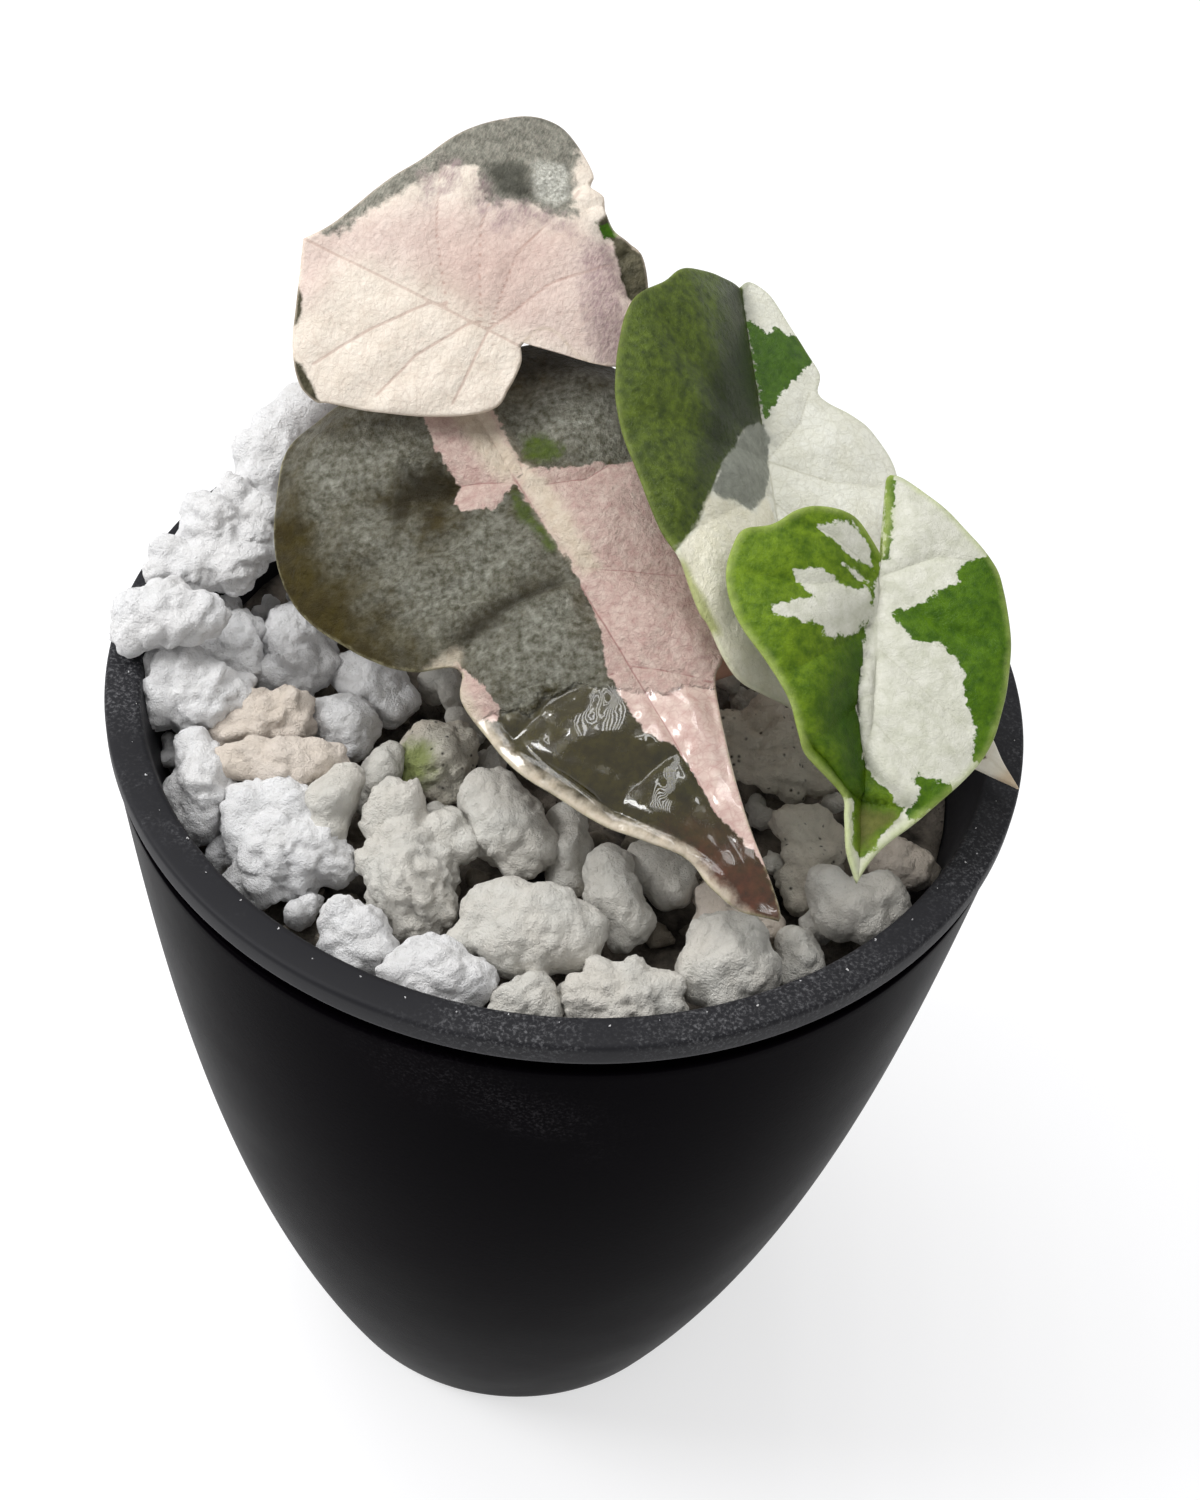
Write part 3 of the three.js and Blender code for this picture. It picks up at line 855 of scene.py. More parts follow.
def hand_over(made: bpy.types.Object, slot: Slot, *nodes: str) -> None:
    """Attaches a finished piece to the root body and hides the CAD nodes that it stands for.

    Args:
        made: The piece.
        slot: The record's slot, which is only written to the log.
        *nodes: CAD nodes that it stands for.
    """
    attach(made, BODY)
    if nodes:
        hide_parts(*nodes)
    log.info("%s: %d faces, slot %s", made.name, len(made.data.polygons), slot.value)


def rounded(corners: Sequence[Point3]) -> list[Point2]:
    """Rounds the corners of an open profile.

    Args:
        corners: Radius, height and rounding of each corner, in mm.

    Returns:
        Radius and height of each point.
    """
    points: list[Point2] = []
    for i, (radius, height, rounding) in enumerate(corners):
        if rounding == 0 or i in (0, len(corners) - 1):
            points.append((radius, height))
            continue
        here = np.array((radius, height))
        back = np.array(corners[i - 1][:2]) - here
        ahead = np.array(corners[i + 1][:2]) - here
        reach = min(rounding, np.linalg.norm(back) / 2, np.linalg.norm(ahead) / 2)
        start = here + back / np.linalg.norm(back) * reach
        end = here + ahead / np.linalg.norm(ahead) * reach
        for k in range(ROUNDING_STEPS + 1):
            t = k / ROUNDING_STEPS
            points.append(tuple((1 - t) ** 2 * start + 2 * t * (1 - t) * here + t * t * end))
    return points


def lathe(name: str, profile: Sequence[Point2], segments: int,
          material: bpy.types.Material) -> bpy.types.Object:
    """Turns a profile that starts and ends on the axis into a closed body about +Z.

    Args:
        name: The object's name.
        profile: Radius and height of each point, in mm.
        segments: Points to a ring.
        material: The material.

    Returns:
        The object.
    """
    angles = np.arange(segments) * 2 * math.pi / segments
    rings = profile[1:-1]
    vertices = [np.column_stack((radius * np.cos(angles), radius * np.sin(angles),
                                 np.full(segments, height))) for radius, height in rings]
    poles = np.array([(0, 0, profile[0][1]), (0, 0, profile[-1][1])])
    first, last = len(rings) * segments, len(rings) * segments + 1
    faces = []
    for s in range(segments):
        t = (s + 1) % segments
        faces.append((first, t, s))
        faces.append((last, first - segments + s, first - segments + t))
        for r in range(len(rings) - 1):
            a, b = r * segments + s, r * segments + t
            faces.append((a, b, b + segments, a + segments))
    made = make_object(name, np.vstack((*vertices, poles)), faces, material)
    outward(made)
    return made


class GeometryTree:
    """A geometry node tree with named inputs, and the way to turn its result into a mesh."""

    def __init__(self, name: str, inputs: dict[str, tuple[str, object]]) -> None:
        """Starts the tree.

        Args:
            name: The tree's name.
            inputs: Kind of socket and default value of each input.
        """
        self.tree = bpy.data.node_groups.new(name, "GeometryNodeTree")
        face = self.tree.interface
        face.new_socket("Geometry", in_out="INPUT", socket_type="NodeSocketGeometry")
        self.sockets: dict[str, str] = {}
        for key, (kind, value) in inputs.items():
            socket = face.new_socket(key, in_out="INPUT", socket_type=kind)
            socket.default_value = value
            self.sockets[key] = socket.identifier
        face.new_socket("Geometry", in_out="OUTPUT", socket_type="NodeSocketGeometry")
        self.graph = Graph(self.tree)
        self.inlet = self.graph.add("NodeGroupInput")

    def close(self, geometry: bpy.types.NodeSocket, material: bpy.types.Material) -> None:
        """Ends the tree in Realize Instances and Set Material.

        Args:
            geometry: What the tree made.
            material: The material of all of it.
        """
        real = self.graph.add("GeometryNodeRealizeInstances")
        self.graph.feed(real.inputs["Geometry"], geometry)
        smooth = self.graph.add("GeometryNodeSetShadeSmooth")
        self.graph.feed(smooth.inputs["Geometry"], real.outputs["Geometry"])
        dressed = self.graph.add("GeometryNodeSetMaterial")
        self.graph.feed(dressed.inputs["Geometry"], smooth.outputs["Geometry"])
        dressed.inputs["Material"].default_value = material
        outlet = self.graph.add("NodeGroupOutput")
        self.graph.feed(outlet.inputs["Geometry"], dressed.outputs["Geometry"])

    def bake(self, name: str, carrier: bpy.types.Object, **values: object) -> bpy.types.Object:
        """Runs the tree on an object and keeps the result as a plain mesh.

        Args:
            name: Name of the new object.
            carrier: What the tree starts from. It is removed.
            **values: Inputs, with an underscore for each blank in a name.

        Returns:
            The new object, at the origin.
        """
        modifier = carrier.modifiers.new(self.tree.name, "NODES")
        modifier.node_group = self.tree
        for key, value in values.items():
            modifier[self.sockets[key.replace("_", " ")]] = value
        graph = bpy.context.evaluated_depsgraph_get()
        mesh = bpy.data.meshes.new_from_object(carrier.evaluated_get(graph))
        mesh.name = name
        carrier.modifiers.remove(modifier)
        bpy.data.objects.remove(carrier)
        made = bpy.data.objects.new(name, mesh)
        bpy.context.scene.collection.objects.link(made)
        return made


@dataclass(frozen=True)
class View:
    """The camera that took the photograph, found from the pot's lip and rim.

    It stands over -Y and looks at the middle of the lip, then is turned a little.
    """

    focal_length: float = 52.8
    sensor: float = 36.0
    distance: float = 252.9
    target_height: float = 120.5
    elevation: float = 44.87
    yaw: float = 0.97
    pitch: float = -1.95
    roll: float = 5.9
    nearest: float = 10.0
    farthest: float = 20000.0

    def build(self) -> None:
        """Makes the camera and the scene looks through it."""
        elevation = math.radians(self.elevation)
        place = Vector((0, -self.distance * math.cos(elevation),
                        self.distance * math.sin(elevation) + self.target_height))
        ahead = (Vector((0, 0, self.target_height)) - place).normalized()
        right = Vector((1, 0, 0))
        up = right.cross(ahead).normalized()
        ahead, up = self._turn(ahead, up, self.pitch)
        ahead, right = self._turn(ahead, right, self.yaw)
        right, up = self._turn(right, up, self.roll)
        lens = bpy.data.cameras.new("camera")
        lens.lens = self.focal_length
        lens.sensor_width = self.sensor
        lens.clip_start = self.nearest * MM
        lens.clip_end = self.farthest * MM
        camera = bpy.data.objects.new("camera", lens)
        turn = Matrix((right, up, -ahead)).transposed().to_4x4()
        camera.matrix_world = Matrix.Translation(place * MM) @ turn
        bpy.context.scene.collection.objects.link(camera)
        bpy.context.scene.camera = camera

    @staticmethod
    def _turn(first: Vector, second: Vector, degrees: float) -> tuple[Vector, Vector]:
        """Turns two axes in their own plane.

        Args:
            first: The axis that turns towards the second.
            second: The axis that turns away from the first.
            degrees: How far.

        Returns:
            Both axes, turned.
        """
        angle = math.radians(degrees)
        return (first * math.cos(angle) + second * math.sin(angle),
                second * math.cos(angle) - first * math.sin(angle))


@dataclass(frozen=True)
class Lamp:
    """One soft lamp. place and size are in mm, power in watts."""

    name: str
    place: Point3
    size: tuple[float, float]
    power: float

    def build(self, target: Point3) -> None:
        """Makes the lamp, turned to a point in mm."""
        light = bpy.data.lights.new(self.name, "AREA")
        light.shape = "RECTANGLE"
        light.size, light.size_y = (side * MM for side in self.size)
        light.energy = self.power
        made = bpy.data.objects.new(self.name, light)
        place = Vector(self.place)
        turn = (Vector(target) - place).to_track_quat("-Z", "Y").to_matrix().to_4x4()
        made.matrix_world = Matrix.Translation(place * MM) @ turn
        bpy.context.scene.collection.objects.link(made)


@dataclass(frozen=True)
class LampRow:
    """Narrow lamps side by side, as in a louvred fitting. step leads from one to the next."""

    name: str
    count: int
    middle: Point3
    step: Point3
    size: tuple[float, float]
    power: float
    facing: Point3

    def build(self) -> None:
        """Makes the lamps."""
        for number in range(self.count):
            shift = (np.array(self.step) * (number - (self.count - 1) / 2)).tolist()
            place = tuple(a + b for a, b in zip(self.middle, shift))
            ahead = tuple(a + b for a, b in zip(place, self.facing))
            Lamp(f"{self.name}_{number}", place, self.size, self.power / self.count).build(ahead)


@dataclass(frozen=True)
class Studio:
    """A pale floor, a pale surround, and rows of narrow lamps at the left and overhead."""

    floor_side: float = 12000.0
    floor_tone: str = "BEBEC0"
    floor_glow: float = 0.6
    surround_strength: float = 0.53
    rows: tuple[LampRow, ...] = (
        LampRow("key_left", 6, (-400.0, -60.0, 450.0), (19.0, 2.8, 21.5), (190.0, 13.0), 1.5,
                (400.0, 60.0, -335.0)),
        LampRow("overhead", 9, (-150.0, 130.0, 800.0), (62.0, 0.0, 0.0), (24.0, 420.0), 2.7,
                (0.0, -0.1, -1.0)),
    )

    def build(self) -> None:
        """Makes the floor, the surround and the lamps."""
        half = self.floor_side / 2
        corners = np.array([(-half, -half, 0), (half, -half, 0), (half, half, 0),
                            (-half, half, 0)])
        surface = Surface("floor", 0.9, 0.1)
        graph = surface.graph
        tint = graph.noise(graph.place(), 3.0, 2.0)
        surface.put("Base Color", graph.mix(tint, colour(self.floor_tone), colour("C2C2C4")))
        surface.put("Emission Color", colour("FFFFFF"))
        surface.put("Emission Strength", self.floor_glow)
        make_object("floor", corners, [(0, 1, 2, 3)], surface.material)
        world = bpy.data.worlds.new("surround")
        world.use_nodes = True
        background = world.node_tree.nodes["Background"]
        background.inputs["Color"].default_value = colour("FFFFFF")
        background.inputs["Strength"].default_value = self.surround_strength
        bpy.context.scene.world = world
        bpy.context.scene.view_settings.view_transform = "Standard"
        for row in self.rows:
            row.build()


@dataclass(frozen=True)
class OuterPot:
    """The outer pot: an egg-shaped shell on a small flat foot."""

    height: float = 115.4
    rim_radius: float = 52.0
    taper: float = 9.5
    rounding: float = 13.0
    rounding_power: float = 2.6
    wall: float = 2.2
    floor: float = 3.0
    foot_round: float = 2.2
    rim_round: float = 0.5
    smear_turn: float = 92.0
    smear_width: float = 14.0
    smear_height: float = 106.0
    smear_slope: float = 0.35
    smear_depth: float = 5.0
    steps: int = 72
    segments: int = 256

    FINISH = PlasticFinish("satin_black", "030204", "060407", 0.28, 0.004, "6B686C", 900.0, 0.10,
                           0.04, 0.3)

    def radius(self, height: float) -> float:
        """Radius of the outside at a height, both in mm."""
        fall = 1 - height / self.height
        return self.rim_radius - self.taper * fall - self.rounding * fall ** self.rounding_power

    def build(self, effects: Effects) -> None:
        """Makes the pot.

        Args:
            effects: The shared node groups.
        """
        heights = np.linspace(self.foot_round, self.height, self.steps + 1)
        wall = [(self.radius(z), z, 0.0) for z in heights[:-1]]
        inside = [(self.radius(z) - self.wall, z, 0.0) for z in heights[-2::-1]
                  if z > self.floor + 1]
        rim = self.radius(self.height)
        foot = self.radius(self.foot_round) - self.foot_round
        bore = self.radius(self.floor) - self.wall - 1
        corners = [(0.0, 0.0, 0.0), (foot, 0.0, 1.0), *wall,
                   (rim, self.height, self.rim_round),
                   (rim - self.wall, self.height, self.rim_round), *inside,
                   (bore, self.floor, 1.0), (0.0, self.floor, 0.0)]
        made = lathe("outer_pot_shell", rounded(corners), self.segments,
                     self.FINISH.build(effects))
        place = np.array([vertex.co[:] for vertex in made.data.vertices]) / MM
        turn = np.degrees(np.arctan2(place[:, 1], place[:, 0])) + self.smear_turn
        across = np.exp(-(turn / self.smear_width) ** 2)
        along = np.exp(-((place[:, 2] - self.smear_height + self.smear_slope * turn)
                         / self.smear_depth) ** 2)
        set_field(made.data, DUST_FIELD, across * along)
        hand_over(made, Slot.OUTER_POT, "outer_pot")


@dataclass(frozen=True)
class LinerPot:
    """The liner pot: a straight cone with a flat-topped lip, four feet and drainage slots."""

    lip_top: float = 120.5
    lip_radius: float = 52.5
    lip_width: float = 4.0
    lip_thickness: float = 3.0
    lip_edge: float = 0.7
    wall: float = 1.6
    floor_top: float = 14.0
    floor_radius: float = 29.4
    feet: int = 4
    foot_ring: float = 20.0
    foot_side: float = 7.0
    foot_bottom: float = 3.3
    floor_slots: int = 6
    floor_slot: Point3 = (12.0, 3.0, 4.0)
    floor_slot_ring: float = 14.0
    wall_slots: int = 8
    wall_slot: Point3 = (12.0, 3.0, 16.0)
    wall_slot_top: float = 34.0
    wall_slot_middle: float = 26.0
    dusty_depth: float = 1.5
    steps: int = 24
    segments: int = 256

    WALL_DUST = 0.35
    LIP_DUST = 0.65
    SHARP_ANGLE = 40

    FINISH = PlasticFinish("charcoal_plastic", "151519", "1E1E22", 0.5, 0.2, "D8D8DC", 1300.0,
                           0.2, 0.12, 0.2)

    @property
    def mouth(self) -> float:
        """Radius of the inner face at the lip, in mm."""
        return self.lip_radius - self.lip_width

    def inner_radius(self, height: float) -> float:
        """Radius of the inner face at a height, both in mm."""
        share = (height - self.floor_top) / (self.lip_top - self.floor_top)
        return self.floor_radius + (self.mouth - self.floor_radius) * share

    def build(self, effects: Effects) -> None:
        """Makes the pot.

        Args:
            effects: The shared node groups.
        """
        under = self.floor_top - self.wall
        flange = self.lip_top - self.lip_thickness
        corners = [(0.0, under, 0.0),
                   (self.inner_radius(under) + self.wall, under, 1.0)]
        for z in np.linspace(under, flange, self.steps)[1:]:
            corners.append((self.inner_radius(z) + self.wall, z, 0.0))
        corners += [(self.lip_radius, flange, self.lip_edge),
                    (self.lip_radius, self.lip_top, self.lip_edge),
                    (self.mouth, self.lip_top, self.lip_edge)]
        for z in np.linspace(self.lip_top - 2, self.floor_top, self.steps):
            corners.append((self.inner_radius(z), z, 0.0))
        corners.append((0.0, self.floor_top, 0.0))
        material = self.FINISH.build(effects)
        cone = lathe("liner_cone", rounded(corners), self.segments, material)
        made = self._drained(cone, material)
        place = np.array([vertex.co[:] for vertex in made.data.vertices]) / MM
        dusty = self.lip_top - self.dusty_depth
        on_lip = np.clip((place[:, 2] - dusty) / self.dusty_depth, 0, 1)
        set_field(made.data, DUST_FIELD, self.WALL_DUST + self.LIP_DUST * on_lip)
        hand_over(made, Slot.LINER_POT, "liner_pot")

    def _drained(self, cone: bpy.types.Object,
                 material: bpy.types.Material) -> bpy.types.Object:
        """Adds the feet and cuts the slots with geometry nodes.

        Args:
            cone: The plain cone with its lip.
            material: The material.

        Returns:
            The finished liner.
        """
        under = self.floor_top - self.wall
        tree = GeometryTree("Drainage", {
            "Feet": ("NodeSocketInt", self.feet),
            "Foot Ring": ("NodeSocketFloat", self.foot_ring * MM),
            "Floor Slots": ("NodeSocketInt", self.floor_slots),
            "Floor Ring": ("NodeSocketFloat", self.floor_slot_ring * MM),
            "Wall Slots": ("NodeSocketInt", self.wall_slots),
            "Wall Ring": ("NodeSocketFloat", self.inner_radius(self.wall_slot_top) * MM),
        })
        foot_height = under + self.wall / 2 - self.foot_bottom
        feet = self._ring(tree, "Feet", "Foot Ring",
                          (self.foot_side, self.foot_side, foot_height),
                          self.foot_bottom + foot_height / 2, 0.5)
        floor_cuts = self._ring(tree, "Floor Slots", "Floor Ring", self.floor_slot,
                                under + self.wall / 2, 0.25)
        wall_cuts = self._ring(tree, "Wall Slots", "Wall Ring", self.wall_slot,
                               self.wall_slot_middle, 0.0)
        whole = self._boolean(tree, "UNION", tree.inlet.outputs["Geometry"], feet)
        drained = self._boolean(tree, "DIFFERENCE", whole, floor_cuts)
        drained = self._boolean(tree, "DIFFERENCE", drained, wall_cuts)
        tree.close(drained, material)
        made = tree.bake("liner_pot_shell", cone)
        made.data.set_sharp_from_angle(angle=math.radians(self.SHARP_ANGLE))
        return made

    @staticmethod
    def _ring(tree: GeometryTree, count: str, ring: str, size: Point3, height: float,
              phase: float) -> bpy.types.NodeSocket:
        """Lays blocks round the axis.

        Args:
            tree: The tree.
            count: Name of the input that says how many.
            ring: Name of the input that gives the ring's radius.
            size: A block's sides in mm, its first side along the radius.
            height: Height of its middle in mm.
            phase: Angle of the first block, as a share of a step.

        Returns:
            The blocks.
        """
        graph = tree.graph
        number, radius = tree.inlet.outputs[count], tree.inlet.outputs[ring]
        points = graph.add("GeometryNodePoints")
        graph.feed(points.inputs["Count"], number)
        index = graph.add("GeometryNodeInputIndex").outputs[0]
        turn = graph.math("DIVIDE", graph.math("ADD", index, phase), number)
        turn = graph.math("MULTIPLY", turn, 2 * math.pi)
        spin = graph.add("ShaderNodeCombineXYZ")
        graph.feed(spin.inputs[2], turn)
        spot = graph.add("ShaderNodeCombineXYZ")
        graph.feed(spot.inputs[0], graph.math("MULTIPLY", graph.math("COSINE", turn), radius))
        graph.feed(spot.inputs[1], graph.math("MULTIPLY", graph.math("SINE", turn), radius))
        graph.feed(spot.inputs[2], height * MM)
        graph.feed(points.inputs["Position"], spot.outputs[0])
        block = graph.add("GeometryNodeMeshCube")
        graph.feed(block.inputs["Size"], tuple(side * MM for side in size))
        laid = graph.add("GeometryNodeInstanceOnPoints")
        graph.feed(laid.inputs["Points"], points.outputs[0])
        graph.feed(laid.inputs["Instance"], block.outputs["Mesh"])
        graph.feed(laid.inputs["Rotation"], spin.outputs[0])
        real = graph.add("GeometryNodeRealizeInstances")
        graph.feed(real.inputs["Geometry"], laid.outputs[0])
        return real.outputs["Geometry"]

    @staticmethod
    def _boolean(tree: GeometryTree, operation: str, first: bpy.types.NodeSocket,
                 second: bpy.types.NodeSocket) -> bpy.types.NodeSocket:
        """Joins or cuts two closed meshes.

        Args:
            tree: The tree.
            operation: UNION or DIFFERENCE.
            first: The body.
            second: What is added or cut away.

        Returns:
            The result.
        """
        graph = tree.graph
        node = graph.add("GeometryNodeMeshBoolean", operation=operation, solver="EXACT")
        if operation == "DIFFERENCE":
            graph.feed(node.inputs["Mesh 1"], first)
        else:
            graph.tree.links.new(first, node.inputs["Mesh 2"])
        graph.tree.links.new(second, node.inputs["Mesh 2"])
        return node.outputs["Mesh"]


class Texture(Enum):
    """How rough a grain of perlite is: smoothing rounds, height of its folds and grit in mm."""

    SMOOTH = (5, 0.55, 0.07)
    LUMPY = (4, 0.85, 0.09)
    CRAGGY = (3, 1.05, 0.11)


@dataclass(frozen=True)
class Grain:
    """One popcorn-like grain, a union of round lobes.

    A lobe is how far across and how far up it lies from the grain's middle, as seen from the
    front at the photograph's slope, and its radius, all in mm.
    """

    lobes: tuple[Point3, ...] = ()
    texture: Texture = Texture.LUMPY
    core: float = 0.88

    GROWTH = 0.4
    VOXEL = 0.4
    ROLL = 5.9
    HEIGHT_SHARE = 0.414
    FOLD_SIZE = 3.0
    GRIT_SIZE = 0.9
    KNOBS_PER_FOLD = 2.4
    FOLD_LIFT = 1.5
    KNOB_LIFT = 0.7
    SINK = 0.5
    CREASE_WIDTH = 0.08
    KEPT = 0.45
    DRAWN_IN = 0.55
    LOBE_SHARES = (0.35, 0.62)
    LEAST_OFFSET = 0.2
    SPREAD = 1.05

    def middles(self) -> list[tuple[np.ndarray, float]]:
        """Gives the place of each lobe about the grain's middle, and its radius, in mm."""
        cosine, sine = math.cos(math.radians(self.ROLL)), math.sin(math.radians(self.ROLL))
        placed = []
        for across, up, radius in self.lobes:
            back = across * sine + up * cosine
            place = np.array((across * cosine - up * sine, back, back * self.HEIGHT_SHARE))
            placed.append((place, radius + self.GROWTH))
        return placed

    @staticmethod
    def chance(rng: np.random.Generator, half: np.ndarray,
               count: int) -> list[tuple[np.ndarray, float]]:
        """Draws lobes for a grain that nobody sees from the front.

        Args:
            rng: Source of chance.
            half: Half of the grain's sides, in mm.
            count: How many lobes.

        Returns:
            Place and radius of each lobe, in mm.
        """
        drawn = []
        for _ in range(count):
            way = rng.normal(size=3)
            way /= np.linalg.norm(way)
            radius = half.min() * rng.uniform(*Grain.LOBE_SHARES)
            offset = np.maximum(half - radius, Grain.LEAST_OFFSET)
            drawn.append((way * offset * Grain.SPREAD, radius))
        return drawn

    def mesh(self, lobes: list[tuple[np.ndarray, float]], core: bmesh.types.BMesh | None,
             voxel: float) -> tuple[np.ndarray, list[list[int]]]:
        """Melts the lobes into one closed skin.

        Args:
            lobes: Place and radius of each lobe, in mm.
            core: What the lobes grow on, in mm, or nothing.
            voxel: Fineness of the skin, in mm.

        Returns:
            Points in mm, and faces.
        """
        union = core or bmesh.new()
        for place, radius in lobes:
            spot = Matrix.Translation(place.tolist())
            bmesh.ops.create_icosphere(union, subdivisions=3, radius=radius, matrix=spot)
        mesh = bpy.data.meshes.new("lobes")
        union.to_mesh(mesh)
        union.free()
        carrier = bpy.data.objects.new("lobes", mesh)
        bpy.context.scene.collection.objects.link(carrier)
        remesh = carrier.modifiers.new("skin", "REMESH")
        remesh.mode = "VOXEL"
        remesh.voxel_size = voxel
        graph = bpy.context.evaluated_depsgraph_get()
        skin = bpy.data.meshes.new_from_object(carrier.evaluated_get(graph))
        bpy.data.objects.remove(carrier)
        points = np.array([vertex.co[:] for vertex in skin.vertices])
        edges = np.array([edge.vertices[:] for edge in skin.edges])
        faces = [list(face.vertices) for face in skin.polygons]
        bpy.data.meshes.remove(skin)
        return self._settled(points, edges), faces

    def _settled(self, points: np.ndarray, edges: np.ndarray) -> np.ndarray:
        """Softens the creases between lobes.

        Args:
            points: The skin's points.
            edges: Pairs of points that are joined.

        Returns:
            The softened points.
        """
        first, second = edges.T
        count = np.bincount(edges.ravel(), minlength=len(points))[:, None]
        for _ in range(self.texture.value[0]):
            total = np.zeros_like(points)
            np.add.at(total, first, points[second])
            np.add.at(total, second, points[first])
            points = points * self.KEPT + total / count * self.DRAWN_IN
        return points

    def roughened(self, points: np.ndarray, middle: np.ndarray,
                  seed: float) -> tuple[np.ndarray, np.ndarray]:
        """Folds and grits the skin.

        Args:
            points: The skin's points about the grain's middle, in mm.
            middle: The grain's middle, in mm.
            seed: Where in the noise this grain lies.

        Returns:
            The new points, and how deep each lies in a fold, from 0 to 1.
        """
        _, folds, grit = self.texture.value
        away = points / np.linalg.norm(points, axis=1, keepdims=True)
        lumps = np.array([noise.noise((p / self.FOLD_SIZE + seed).tolist()) for p in points])
        knobs = np.array([noise.noise((p / self.FOLD_SIZE * self.KNOBS_PER_FOLD - seed).tolist())
                          for p in points])
        sand = np.array([noise.noise((p / self.GRIT_SIZE + seed).tolist()) for p in points])
        height = self.FOLD_LIFT * np.abs(lumps) + self.KNOB_LIFT * np.abs(knobs) - self.SINK
        lift = folds * height + grit * sand
        deep = np.exp(-(lumps / self.CREASE_WIDTH) ** 2)
        return middle + points + away * lift[:, None], deep


